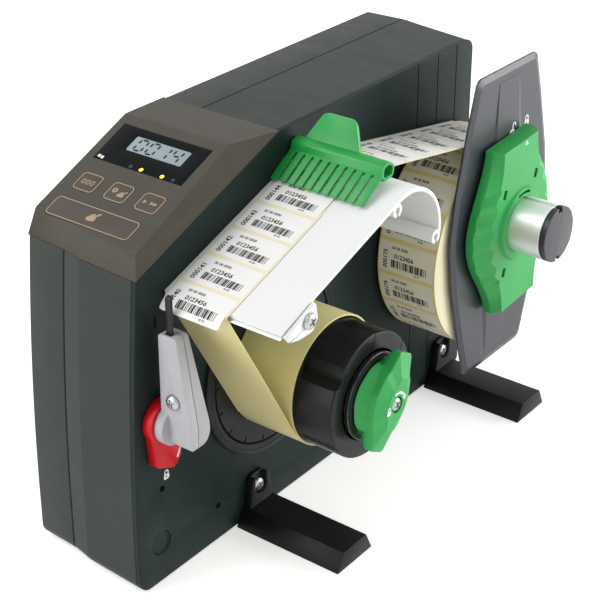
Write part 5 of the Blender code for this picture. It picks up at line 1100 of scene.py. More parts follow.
@dataclass
class ControlPanel(Assembly):
    """The sloping cap with its window, display, lamps and keys."""

    base: Point = (10.0, 218.5)
    crest: Point = (92.0, 253.5)
    window: tuple[float, float, float, float] = (-50.2, 66.6, 68.0, 30.6)
    glass: tuple[float, float, float, float] = (-48.5, 70.2, 42.0, 12.0)
    lamp_row: float = 53.4
    lamp_radius: float = 1.35
    print_lifts: Point = (0.24, 0.29)
    keys: dict[str, tuple[float, float, float, float]] = field(default_factory=lambda: {
        "clear_key": (-72.4, 33.2, 16.0, 14.0), "count_key": (-48.5, 33.2, 16.0, 14.0),
        "advance_key": (-24.8, 33.2, 16.0, 14.0), "feed_key": (-50.6, 11.3, 63.6, 14.6),
    })

    def face(self) -> Matrix:
        """The sloping face's frame: across, up the slope and off the face."""
        slope = math.atan2(self.crest[1] - self.base[1], self.crest[0] - self.base[0])
        return Matrix.Translation((0.0, *self.base)) @ Matrix.Rotation(slope, 4, "X")

    def build(self) -> None:
        """Build and dress the panel."""
        face = self.face()
        self.fit(refined("control_panel", "panel_cap", 0.9), Look.PANEL, nodes=["control_panel"])
        u, v, width, height = self.window
        gu, gv, gw, gh = self.glass
        opening = panel(gw + 0.6, gh + 0.6, 0.6, (gu, gv), 3)
        pane = prism("display_pane", [panel(width, height, 0.5, (u, v), 3), opening], -1.6, -0.1,
                     face, 0.2)
        self.fit(pane, Look.WINDOW, nodes=["display_window"])
        glass = prism("display_glass", [panel(gw, gh, 1.2, (gu, gv), 4)], -2.9, -0.45, face, 0.15)
        self.fit(glass, Look.GLASS, nodes=["lcd_display"])
        self.build_digits("0014")
        self.build_lamps()
        self.build_keys()

    def build_digits(self, text: str) -> None:
        """Seven-segment digits on the display.

        Args:
            text: The digits to show.
        """
        gu, gv, _, _ = self.glass
        lit = {"0": "abcdef", "1": "bc", "4": "bcfg"}
        width, height, stroke, pitch = 5.7, 9.0, 1.35, 9.0
        digits = Batch()
        for i, digit in enumerate(text):
            centre = (gu + (i - 1.5) * pitch, gv)
            for key in lit[digit]:
                bar = self.segment(key, width, height, stroke)
                leaned = [(centre[0] + x + y * 0.1, centre[1] + y) for x, y in bar]
                digits.slab([leaned], -0.45, -0.4)
        self.fit(digits.done("display_digits", self.face()), Look.SEGMENT)

    @staticmethod
    def segment(key: str, width: float, height: float, stroke: float) -> Loop:
        """One bar of a seven-segment digit round the origin."""
        half = stroke / 2
        u, v = width / 2, height / 2
        level = {"a": v, "g": 0.0, "d": -v}
        if key in level:
            y = level[key]
            reach = u - half * 1.2
            return [(-reach, y), (-reach + half, y + half), (reach - half, y + half), (reach, y),
                    (reach - half, y - half), (-reach + half, y - half)]
        x = u if key in "bc" else -u
        low, high = (half * 1.2, v - half * 0.4) if key in "bf" else (-v + half * 0.4, -half * 1.2)
        return [(x, low), (x + half, low + half), (x + half, high - half), (x, high),
                (x - half, high - half), (x - half, low + half)]

    def build_lamps(self) -> None:
        """Four lamps under the display, two of them lit, and the small sign at the left."""
        face = self.face()
        for name, places, look in (("lit_lamps", (-48.2, -32.2), Look.LAMP_ON),
                                   ("unlit_lamps", (-56.2, -23.9), Look.LAMP_OFF)):
            lamps = Batch()
            for u in places:
                lamps.slab([circle((u, self.lamp_row), self.lamp_radius, 24)], -0.1, 0.02, 0.05)
            self.fit(lamps.done(name, face), look)
        sign = Batch()
        for shift in (-1.5, 1.1):
            sign.slab([panel(2.0, 2.2, 0.3, (-79.9 + shift, 53.8 - shift * 0.2), 2)], -0.1, -0.06)
        self.fit(sign.done("window_sign", face), Look.MARK)

    def build_keys(self) -> None:
        """The four keys with their printed rims and signs."""
        face = self.face()
        for node, (u, v, width, height) in self.keys.items():
            key = prism(f"{node}_cap", [panel(width, height, 3.0, (u, v))], -1.35, 0.25, face, 0.2)
            self.fit(key, Look.KEY, node, [node])
            legend = Batch()
            rims = [panel(width - 0.3, height - 0.3, 2.9, (u, v)),
                    panel(width - 1.5, height - 1.5, 2.3, (u, v))]
            legend.slab(rims, *self.print_lifts)
            for loops in SIGNS[node]():
                legend.slab([[(u + x, v + y) for x, y in loop] for loop in loops], *self.print_lifts)
            self.fit(legend.done(f"{node}_legend", face), Look.LEGEND, node)


def zero_sign() -> list[list[Loop]]:
    """Three plain noughts: set the counter back."""
    return [[panel(2.5, 3.9, 1.2, (x, 0.0), 4), panel(1.3, 2.7, 0.6, (x, 0.0), 4)]
            for x in (-3.3, 0.0, 3.3)]


def hand_sign(size: float = 1.0, centre: Point = (0.0, 0.0)) -> list[list[Loop]]:
    """A pointing hand."""
    palm = rounded([(-3.9, -1.5, 0.4), (-2.3, -2.9, 0.6), (2.2, -2.6, 0.8), (3.1, -1.0, 0.8),
                    (2.4, 1.1, 0.8), (-0.4, 2.0, 0.8), (-2.4, 0.7, 0.6)], 4)
    finger = turn(panel(4.6, 1.35, 0.6), math.radians(48.0), (2.5, 2.4))
    thumb = turn(panel(3.0, 1.3, 0.6), math.radians(24.0), (-0.5, 1.9))
    return [[[(centre[0] + x * size, centre[1] + y * size) for x, y in loop]]
            for loop in (palm, finger, thumb)]


def counted_sign() -> list[list[Loop]]:
    """A toothed wheel beside a hand."""
    wheel: Loop = []
    for i in range(9):
        for share, radius in ((0.0, 1.45), (0.25, 2.1), (0.55, 2.1), (0.8, 1.45)):
            angle = math.tau * (i + share) / 9
            wheel.append((-3.4 + radius * math.cos(angle), 0.8 + radius * math.sin(angle)))
    return [[wheel, circle((-3.4, 0.8), 0.7, 12)]] + hand_sign(0.72, (2.5, -0.9))


def advance_sign() -> list[list[Loop]]:
    """One arrow head, then two close together."""
    head = [(-1.3, -1.35), (1.3, 0.0), (-1.3, 1.35)]
    return [[[(x + shift, y) for x, y in head]] for shift in (-3.7, 1.6, 4.0)]


SIGNS: dict[str, Callable[[], list[list[Loop]]]] = {
    "clear_key": zero_sign, "count_key": counted_sign, "advance_key": advance_sign,
    "feed_key": hand_sign,
}


# Dispensing plate, strip and liner

@dataclass
class Route:
    """The side-view path of the strip over roll, arch, plate and peel edge."""

    tilt: float = math.radians(19.0)
    arch: Point = (142.0, 198.3)
    arch_radius: float = 34.0
    roll: Point = (298.0, 130.7)
    roll_radius: float = 72.5
    peel: float = 20.2
    drum: Point = (116.3, 107.6)
    droop: float = math.radians(45.0)
    overhang: float = 9.5

    def face(self, y: float, drop: float = 0.0) -> Point:
        """A point below the plate's upper face, measured square to it."""
        cos, sin = math.cos(self.tilt), math.sin(self.tilt)
        reach = (y - self.arch[0]) / cos + self.arch_radius * math.tan(self.tilt)
        lift = self.arch_radius - drop
        return (self.arch[0] + reach * cos - lift * sin, self.arch[1] + reach * sin + lift * cos)

    @staticmethod
    def tangent(first: Point, first_radius: float, second: Point, second_radius: float, side: int
                ) -> tuple[Loop, float]:
        """Where a straight line touches two circles.

        Args:
            first: Centre of the first circle.
            first_radius: Its radius.
            second: Centre of the second circle.
            second_radius: Its radius.
            side: 1 over the top, -1 along the bottom.

        Returns:
            The two points and the angle at which they lie.
        """
        reach = math.hypot(second[0] - first[0], second[1] - first[1])
        bearing = math.atan2(second[1] - first[1], second[0] - first[0])
        touch = bearing + side * math.acos((first_radius - second_radius) / reach)
        away = (math.cos(touch), math.sin(touch))
        ends = ((first, first_radius), (second, second_radius))
        return [(c[0] + r * away[0], c[1] + r * away[1]) for c, r in ends], touch

    def strip(self, lift: float) -> Loop:
        """The path from the roll to the end of the label that is being dispensed."""
        (_, start), leave = self.tangent(self.arch, self.arch_radius + lift, self.roll,
                                         self.roll_radius + lift, 1)
        path = [start] + arc(self.arch, self.arch_radius + lift, leave, math.pi / 2 + self.tilt, 12)
        path.append(self.face(self.peel, -lift))
        for i in range(8):
            angle = self.tilt + self.droop * (i + 1) / 8 * 0.85
            step = self.overhang / 8
            path.append((path[-1][0] - step * math.cos(angle), path[-1][1] - step * math.sin(angle)))
        return path


class Tape:
    """A path that flat goods follow; distances run downstream from its first point."""

    def __init__(self, points: Loop) -> None:
        """Measure the path and find its outward normals."""
        self.points = [Vector(p) for p in points]
        self.stations = [0.0]
        ways = []
        for a, b in zip(self.points, self.points[1:]):
            self.stations.append(self.stations[-1] + (b - a).length)
            ways.append((b - a).normalized())
        joints = [ways[0]] + [(a + b).normalized() for a, b in zip(ways, ways[1:])] + [ways[-1]]
        self.normals = [Vector((way.y, -way.x)) for way in joints]
        self.length = self.stations[-1]

    def at(self, distance: float, lift: float) -> Point:
        """A point of the side view at a distance along the path, lifted off it."""
        s = min(max(distance, 0.0), self.length)
        i = 0
        while i < len(self.stations) - 2 and self.stations[i + 1] < s:
            i += 1
        share = (s - self.stations[i]) / (self.stations[i + 1] - self.stations[i])
        spot = self.points[i].lerp(self.points[i + 1], share)
        normal = self.normals[i].lerp(self.normals[i + 1], share).normalized()
        return tuple(spot + normal * lift)

    def bar(self, batch: Batch, across: Point, along: Point, lifts: Point, corner: float = 0.0,
            step: float = 2.0) -> None:
        """Add a flat plate or bar that follows the path.

        Args:
            batch: Where it goes.
            across: Its X range.
            along: Its range of distances.
            lifts: Heights of its underside and face.
            corner: Radius of its corners.
            step: Longest chord along the path.
        """
        start, end = along
        count = max(1, math.ceil((end - start) / step))
        stops = [start + (end - start) * i / count for i in range(count + 1)]
        for k in range(1, 4):
            stops += [start + corner * k / 4, end - corner * k / 4]
        stops += [s for s in self.stations if start + 0.2 < s < end - 0.2 and step < 5.0]
        stops.sort()
        merged = [s for i, s in enumerate(stops) if i == 0 or s - stops[i - 1] > 0.05]
        sections = []
        for s in merged:
            near = min(s - start, end - s)
            rest = max(corner - near, 0.0)
            pull = corner - math.sqrt(max(corner ** 2 - rest ** 2, 0.0))
            low, high = self.at(s, lifts[0]), self.at(s, lifts[1])
            x0, x1 = across[0] + pull, across[1] - pull
            sections.append([(x0, *low), (x1, *low), (x1, *high), (x0, *high)])
        batch.strip(sections)

    def text(self, batch: Batch, digits: str, height: float, x: float, distance: float, lifts: Point,
             upright: bool = False) -> None:
        """Add a line of digits that reads across the path, or along it.

        Args:
            batch: Where they go.
            digits: The digits.
            height: Their height.
            x: X of the line's start.
            distance: Distance of its baseline or start.
            lifts: Heights of underside and face.
            upright: Whether the line runs upstream.
        """
        points, faces = glyphs(digits, height)
        placed = []
        for p in points:
            across, back = (-p.y, p.x) if upright else (p.x, p.y)
            y, z = self.at(distance - back, lifts[0] + (lifts[1] - lifts[0]) * p.z)
            placed.append((x + across, y, z))
        batch.solid(placed, faces)


@dataclass
class LabelPrint:
    """The generic print of one label: counting digits, a plain number and a bar pattern."""

    left: float = 4.2
    width: float = 42.0
    depth: float = 21.0
    bars: tuple[int, ...] = (2, 1, 3, 1, 1, 2, 1, 1, 2, 3, 1, 2, 1, 3, 2, 1, 1, 1, 3, 2, 1, 2, 1, 1,
                             3, 1, 2, 2, 1, 1, 2, 1, 3, 1, 1, 2, 3, 1, 1, 2, 1, 3, 1, 2)

    def add(self, sheets: Batch, ink: Batch, tape: Tape, front: float, lift: float,
            number: int) -> None:
        """Add a label and its print.

        Args:
            sheets: Batch of label paper.
            ink: Batch of print.
            tape: The path that the label lies on.
            front: Distance of the label's downstream edge.
            lift: Height of its underside.
            number: The number that it shows.
        """
        face = lift + 0.12
        tape.bar(sheets, (self.left, self.left + self.width), (front - self.depth, front),
                 (lift, face), 1.6)
        print_lifts = (face - 0.02, face + 0.02)
        unit = 28.5 / sum(self.bars)
        x = self.left + 9.5
        for i, count in enumerate(self.bars):
            share = 1.15 if i % 2 == 0 else 0.8
            if i % 2 == 0:
                tape.bar(ink, (x, x + unit * count * share), (front - 9.0, front - 3.6), print_lifts)
            x += unit * count * share
        tape.text(ink, "0123456", 3.1, self.left + 11.5, front - 10.4, print_lifts)
        tape.text(ink, "00 00 0000", 1.9, self.left + 9.5, front - 16.4, print_lifts)
        tape.text(ink, "00 00", 1.3, self.left + 27.5, front - 1.5, print_lifts)
        tape.text(ink, f"{number:06d}", 3.2, self.left + 6.2, front - 1.8, print_lifts, upright=True)


@dataclass
class DispensingPlate(Assembly):
    """The arched plate, its peel edge, and the strip and liner that run over them."""

    route: Route = field(default_factory=Route)
    width: float = 81.5
    thickness: float = 2.5
    gap: float = 0.3
    strip: tuple[float, float] = (3.0, 47.5)
    pitch: float = 23.6
    nose: float = 0.8
    winding: Point = (41.5, 40.3)
    long_chord: float = 50.0

    def build(self) -> None:
        """Build and dress the plate and all that lies on it."""
        self.build_plate()
        self.build_peel()
        self.build_strip()
        self.build_liner()

    def build_plate(self) -> None:
        """The extruded plate with its two screw ports."""
        route = self.route
        start, end = math.pi / 2 + route.tilt, math.radians(-8.0)
        top = [route.face(22.0)] + arc(route.arch, route.arch_radius, start, end, 48)
        low = [route.face(22.0, self.thickness)]
        low += arc(route.arch, route.arch_radius - self.thickness, start, end, 48)
        plate = prism("arched_plate", [ribbon(top, low)], self.gap, self.width, edge=0.35, sharp=40.0)
        reach = route.arch_radius - 4.4
        ports = (route.face(128.0, self.thickness / 2 + 4.4),
                 (route.arch[0] + reach * math.cos(end), route.arch[1] + reach * math.sin(end) - 2.2))
        stubs, bores = [], []
        for i, (y, z) in enumerate(ports):
            stubs.append(turned(f"port_{i}", ring(4.4, 0.0, self.gap, self.width - 0.2, 0.4),
                                side_frame(y, z), 40))
            bores.append(turned(f"bore_{i}", ring(2.1, 0.0, -2.0, 90.0), side_frame(y, z), 32))
            bores.append(box(f"mouth_{i}", (2.2, 8.8, 180.0), (0.0, -4.4, 0.0), side_frame(y, z)))
        carved(plate, stubs, "UNION")
        self.fit(carved(plate, bores), Look.WHITE, nodes=["dispensing_plate"])

    def build_peel(self) -> None:
        """The thin nose under the plate's front, its bracket and screw."""
        route = self.route
        gap = self.thickness + self.gap
        nose = self.nose
        tip = route.face(route.peel + nose, gap + nose)
        start = math.pi / 2 + route.tilt
        outline = arc(tip, nose, start, start + math.pi, 12)
        outline += [route.face(50.0, gap + 1.6), route.face(50.0, gap)]
        peel = prism("peel_blade", [outline], self.gap, self.width - 0.3, edge=0.1)
        boss = route.face(41.0, gap + 0.8 + 4.2)
        stub = turned("peel_stub", ring(4.2, 0.0, self.gap, self.width - 0.3, 0.3),
                      side_frame(*boss), 40)
        bore = turned("peel_bore", ring(2.7, 0.0, self.width - 9.6, self.width + 2.0),
                      side_frame(*boss), 24)
        carved(peel, [stub], "UNION")
        self.fit(carved(peel, [bore]), Look.ALUMINIUM, nodes=["peel_plate"])
        self.fit(refined("peel_bracket", "peel_ear", 0.5), Look.WHITE, nodes=["peel_bracket"])
        place = side_frame(*boss) @ Matrix.Translation((0.0, 0.0, self.width + 0.3 + 2.0 + 0.3))
        self.screw("peel_bracket_screw", "peel_ear_screw", place, 4.8, 2.6, (2.4, 9.6))

    def build_strip(self) -> None:
        """The liner with its labels, from the roll to the label that is being dispensed."""
        tape = Tape(self.route.strip(self.gap))
        liner_end = tape.length - self.route.overhang
        liner = Batch()
        tape.bar(liner, self.strip, (0.0, liner_end), (0.0, LINER_FACE), 0.0, self.long_chord)
        # The strip's liner is paled by painted light.
        self.fit(liner.done("strip_liner"), Look.STRIP_LINER, nodes=["label_strip"])
        sheets, ink = Batch(), Batch()
        printed = LabelPrint()
        front, number = tape.length, 140
        while front - printed.depth > 0.0:
            printed.add(sheets, ink, tape, front, LABEL_BASE, number)
            front -= self.pitch
            number += 1
        self.fit(sheets.done("strip_labels"), Look.LABEL)
        self.fit(ink.done("strip_print"), Look.INK)

    def build_liner(self) -> None:
        """The liner that turns round the nose and runs to the drum, and its turns on the drum."""
        route = self.route
        nose = self.nose
        tip = route.face(route.peel + nose, self.thickness + self.gap + nose)
        paths = []
        for lift in (self.gap, self.gap + 0.25):
            ends, _ = route.tangent(tip, nose + lift, route.drum, self.winding[0] + lift, -1)
            above = Vector(route.face(route.peel, -lift))
            out = Vector((-math.cos(route.tilt), -math.sin(route.tilt)))
            down = (Vector(ends[1]) - Vector(ends[0])).normalized()
            bend = []
            for i in range(10):
                t = i / 10
                p1, p2 = above + out * 1.6, Vector(ends[0]) - down * 1.6
                spot = above * (1 - t) ** 3 + p1 * 3 * t * (1 - t) ** 2 + p2 * 3 * t * t * (1 - t)
                bend.append(tuple(spot + Vector(ends[0]) * t ** 3))
            paths.append(bend + ends)
        web = prism("liner_run", [ribbon(*paths)], *self.strip, sharp=50.0)
        self.fit(web, Look.LINER, nodes=["liner_web"])
        turns = turned("wound_liner", ring(*self.winding, *self.strip, 0.15),
                       side_frame(*route.drum), 128)
        self.fit(turns, Look.LINER, "rewinder", ["liner_winding"])


# Label comb

@dataclass
class LabelComb(Assembly):
    """The green comb that holds the strip on the plate."""

    pivot: Point = (140.5, 240.8)
    start: float = 1.6
    width: float = 65.4
    slots: int = 10
    slot: float = 1.3
    opened: float = 1.9
    head: float = 1.4
    root: Point = (-5.2, -1.6)
    tip: Point = (-24.8, -13.6)

    def build(self) -> None:
        """Build and dress the comb."""
        comb = refined("label_comb", "holding_comb", 0.35, 35.0)
        rise, run = self.tip[1] - self.root[1], self.tip[0] - self.root[0]
        reach, slope = math.hypot(rise, run), math.atan2(rise, run)
        start = Vector((0.0, self.pivot[0] + self.root[0], self.pivot[1] + self.root[1]))
        place = Matrix.Translation(start) @ Matrix.Rotation(slope, 4, "X")
        pitch = (self.width + self.slot) / (self.slots + 1)
        gaps = Batch()
        for i in range(self.slots):
            u = self.start + pitch * (i + 1) - self.slot / 2
            middle = (self.head + reach + self.opened) / 2
            gaps.slab([panel(self.opened, reach + self.opened - self.head, self.opened * 0.49,
                             (u, middle))],
                      -5.0, 4.0)
        self.fit(carved(comb, [gaps.done("gaps", place)], sharp=40.0), Look.GREEN, "comb",
                 ["label_comb"])


# Label sensor

@dataclass
class LabelSensor(Assembly):
    """The swinging sensor, its spring feeler and its red clamp lever."""

    pivot: Point = (13.0, 114.8)

    def build(self) -> None:
        """Build and dress the sensor."""
        for node, name in (("sensor_front_shell", "front_clam"), ("sensor_rear_shell", "rear_clam")):
            self.fit(refined(node, name, 0.9), Look.SENSOR, "sensor", [node])
        self.fit(refined("feeler_arm", "spring_feeler", 0.3), Look.FEELER, "feeler", ["feeler_arm"])
        self.fit(refined("clamp_lever", "clamp_handle", 0.6), Look.RED, "clamp", ["clamp_lever"])
        y, z = self.pivot
        place = Matrix.Translation((18.0, y - 6.7, z + 20.0)) @ Matrix.Rotation(math.pi / 2, 4, "X")
        self.screw("sensor_screw", "sensor_cross_screw", place, 4.6, 2.3, (2.4, 14.0), "sensor")
        mark = Batch()
        mark.slab([rounded([(7.2, -27.6, 0.3), (10.0, -21.0, 0.3), (9.4, -20.4, 0.3),
                            (5.8, -26.8, 0.3)], 2)],
                  7.39, 7.44)
        self.fit(mark.done("clamp_mark", side_frame(y, z)), Look.MARK, "clamp")


# Liner rewinder

@dataclass
class Rewinder(Assembly):
    """The notched flange, the winding drum with its clamp segment, and the release knob."""

    axis: Point = (116.3, 107.6)
    radius: float = 40.0
    start: float = 3.0
    end: float = 75.0
    wall: float = 4.0
    lip: float = 28.3
    segment_angle: float = math.radians(59.0)
    scallop_angle: float = math.radians(142.0)
    knob_angle: float = math.radians(62.0)
    notches: int = 18
    notch_turn: float = math.radians(-3.0)
    sign_lifts: Point = (93.99, 94.05)

    def build(self) -> None:
        """Build and dress the rewinder."""
        self.build_flange()
        self.build_drum()
        self.build_disc()
        self.build_knob()

    def place(self, angle: float = 0.0) -> Matrix:
        """The frame of the drum's axis."""
        return side_frame(*self.axis, angle)

    def build_flange(self) -> None:
        """The disc behind the drum with its ring of notches, and painted shade laid in its groove and notches."""
        rim, line, low, high = 63.6, 56.5, 0.5, 2.5
        profile = [(rim - 0.9, high), (rim - 0.25, high - 0.25), (rim, high - 0.9), (rim, low),
                   (6.3, low), (6.3, high), (line - 1.2, high), (line - 0.9, high - 0.9),
                   (line + 0.2, high - 0.9), (line + 0.4, high), (rim - 4.0, high),
                   (rim - 3.8, high - 0.3), (rim - 3.2, high - 0.3), (rim - 3.0, high)]
        disc = turned("notched_flange", profile, self.place(), 160)
        cuts = []
        for i in range(self.notches):
            angle = math.tau * i / self.notches + self.notch_turn
            spot = Matrix.Rotation(angle, 4, "Z") @ Matrix.Translation((line - 2.4, 0.0, high))
            cuts.append(box(f"notch_{i}", (4.2, 1.3, 1.4), (0.0, 0.0, 0.0), self.place() @ spot))
        self.fit(carved(disc, cuts), Look.FLANGE, "rewinder", ["rewinder_flange"])
        # Painted shade: thin near-black sheets in the groove and at each notch.
        shade = Batch()
        shade.slab([circle((0.0, 0.0), line + 0.3, 128), circle((0.0, 0.0), line - 1.0, 128)],
                   high - 0.89, high - 0.8)
        for i in range(self.notches):
            spot = (line - 3.3, 0.0)
            bar = [(spot[0] + u, spot[1] + v)
                   for u, v in ((-1.0, -0.6), (1.0, -0.6), (1.0, 0.6), (-1.0, 0.6))]
            shade.slab([turn(bar, math.tau * i / self.notches + self.notch_turn)], high - 0.69,
                       high - 0.6)
        self.fit(shade.done("flange_line", self.place()), Look.RECESS, "rewinder")

    def block(self, name: str, width: float, near: float, far: float) -> Object:
        """A cutting block along the segment's way of travel."""
        size = (far - near, width, (self.end - self.start) * 2)
        return box(name, size, ((far + near) / 2, 0.0, (self.start + self.end) / 2),
                   self.place(self.segment_angle))

    def build_drum(self) -> None:
        """The drum with its finger scallop, and the segment in its gap."""
        inner, floor, ceiling = self.radius - self.wall, self.start + 4.0, self.end - 4.0
        corners = [(self.radius, self.end, 1.2), (self.radius, self.start, 0.3), (6.3, self.start, 0.0),
                   (6.3, floor, 0.0), (inner, floor, 0.6), (inner, ceiling, 0.6),
                   (self.lip, ceiling, 0.2), (self.lip, self.end, 0.5)]
        drum = turned("winding_drum", rounded(corners, 4), self.place(), 160)
        reach = self.radius + 12.0 - 3.0
        spot = self.place(self.scallop_angle) @ Matrix.Translation((reach, 0.0, 0.0))
        scallop = turned("scallop", ring(12.0, 0.0, 49.5, self.end + 2.0), spot, 96)
        shoulder = math.sqrt(28.9 ** 2 - 16.5 ** 2)
        gap = self.block("segment_gap", 34.2, shoulder - 2.4 - 0.3, self.radius + 2.0)
        carved(drum, [scallop, gap])
        web = turned("drum_floor", ring(self.radius - 2.0, 6.3, self.start, self.start + 2.0),
                     self.place(), 128)
        self.fit(carved(drum, [web], "UNION"), Look.BLACK, "rewinder", ["rewinder_drum"])
        corners = [(self.radius - 0.6, self.end, 1.0), (self.radius - 0.6, self.start + 2.3, 0.3),
                   (28.9, self.start + 2.3, 0.3), (28.9, self.end, 0.3)]
        segment = turned("liner_clamp", rounded(corners, 4), self.place(), 160)
        shape = self.block("segment_shape", 33.0, 14.0, self.radius + 2.0)
        segment = carved(segment, [shape], "INTERSECT")
        self.fit(eased(segment, 0.35, 50.0), Look.BLACK, "clamp_segment", ["clamp_segment"])

    def build_disc(self) -> None:
        """The disc in the drum's mouth with its raised rings, whose light edges are partly wear and partly painted
        highlight.
        """
        low, high = self.end + 0.3, self.end + 3.0
        profile = [(27.6, high - 0.4), (27.6, low), (6.3, low), (6.3, high - 0.9), (24.4, high - 0.9),
                   (24.6, high - 0.1), (24.9, high), (27.2, high)]
        self.fit(turned("mouth_ring", profile, self.place(), 128), Look.DARK_STEEL, "rewinder",
                 ["hub_disc"])
        cover = [(24.2, high - 0.85), (24.2, high - 0.5), (23.4, high - 0.1), (7.2, high - 0.1),
                 (7.2, high - 0.85)]
        self.fit(turned("mouth_cover", cover, self.place(), 96), Look.BLACK, "rewinder")

    def outline(self, share: float) -> Loop:
        """The knob's two-lobed outline, scaled toward its axis."""
        quarter = [(30.6, 6.4, 2.6), (19.0, 10.9, 9.5), (14.5, 14.5, 6.3), (0.0, 19.0, 19.0)]
        left = [(-u, v, r) for u, v, r in quarter[-2::-1]]
        upper = quarter + left
        corners = upper + [(-u, -v, r) for u, v, r in upper]
        return turn([(u * share, v * share) for u, v in rounded(corners, 9)], self.knob_angle)

    def merging(self, share: float, roundness: float) -> Loop:
        """The knob's outline on its way from the round collar to the lobes."""
        collar = 23.2
        points = []
        for point in self.outline(share):
            ray = Vector(point)
            points.append(tuple(ray.lerp(ray.normalized() * collar * share, roundness)))
        return points

    def build_knob(self) -> None:
        """The green release knob with its screw and signs."""
        stations = ((78.4, 0.97, 1.0), (79.2, 1.0, 0.95), (80.8, 1.0, 0.72), (82.4, 1.0, 0.36),
                    (83.8, 1.0, 0.1), (85.0, 1.0, 0.0), (89.6, 1.0, 0.0), (90.1, 0.975, 0.0),
                    (93.5, 0.555, 0.0), (94.0, 0.52, 0.0))
        sections = [[(x, y, z) for y, z in self.merging(share, roundness)]
                    for x, share, roundness in stations]
        knob = lofted("release_knob", sections, Matrix.Translation((0.0, *self.axis)), sharp=13.0)
        seat, floor = 91.6, 86.8
        cuts = [turned("knob_bore", ring(6.3, 0.0, 76.0, floor), self.place(), 48),
                turned("knob_sink", ring(5.3, 0.0, seat, 97.0), self.place(), 48),
                turned("knob_way", ring(2.7, 0.0, floor - 2.0, seat + 2.0), self.place(), 24)]
        self.fit(carved(knob, cuts, sharp=13.0), Look.HUB, "knob", ["rewinder_knob"])
        place = self.place() @ Matrix.Translation((0.0, 0.0, seat + 0.3))
        self.screw("knob_screw", "knob_cross_screw", place, 4.4, 2.4, (2.4, 10.0), "knob")
        signs = Batch()
        signs.slab([band(arc((0.0, 0.0), 7.6, math.radians(28.0), math.radians(106.0), 16), 1.5)],
                   *self.sign_lifts)
        tip = (7.6 * math.cos(math.radians(24.0)), 7.6 * math.sin(math.radians(24.0)))
        head = turn([(-1.9, 0.0), (1.9, 0.0), (0.0, -3.0)], math.radians(20.0), tip)
        signs.slab([head], *self.sign_lifts)
        padlock(signs, 0.72, *self.sign_lifts, True, (-8.4, -1.0))
        self.fit(signs.done("knob_signs", self.place()), Look.MARK, "knob")


# Supply spindle

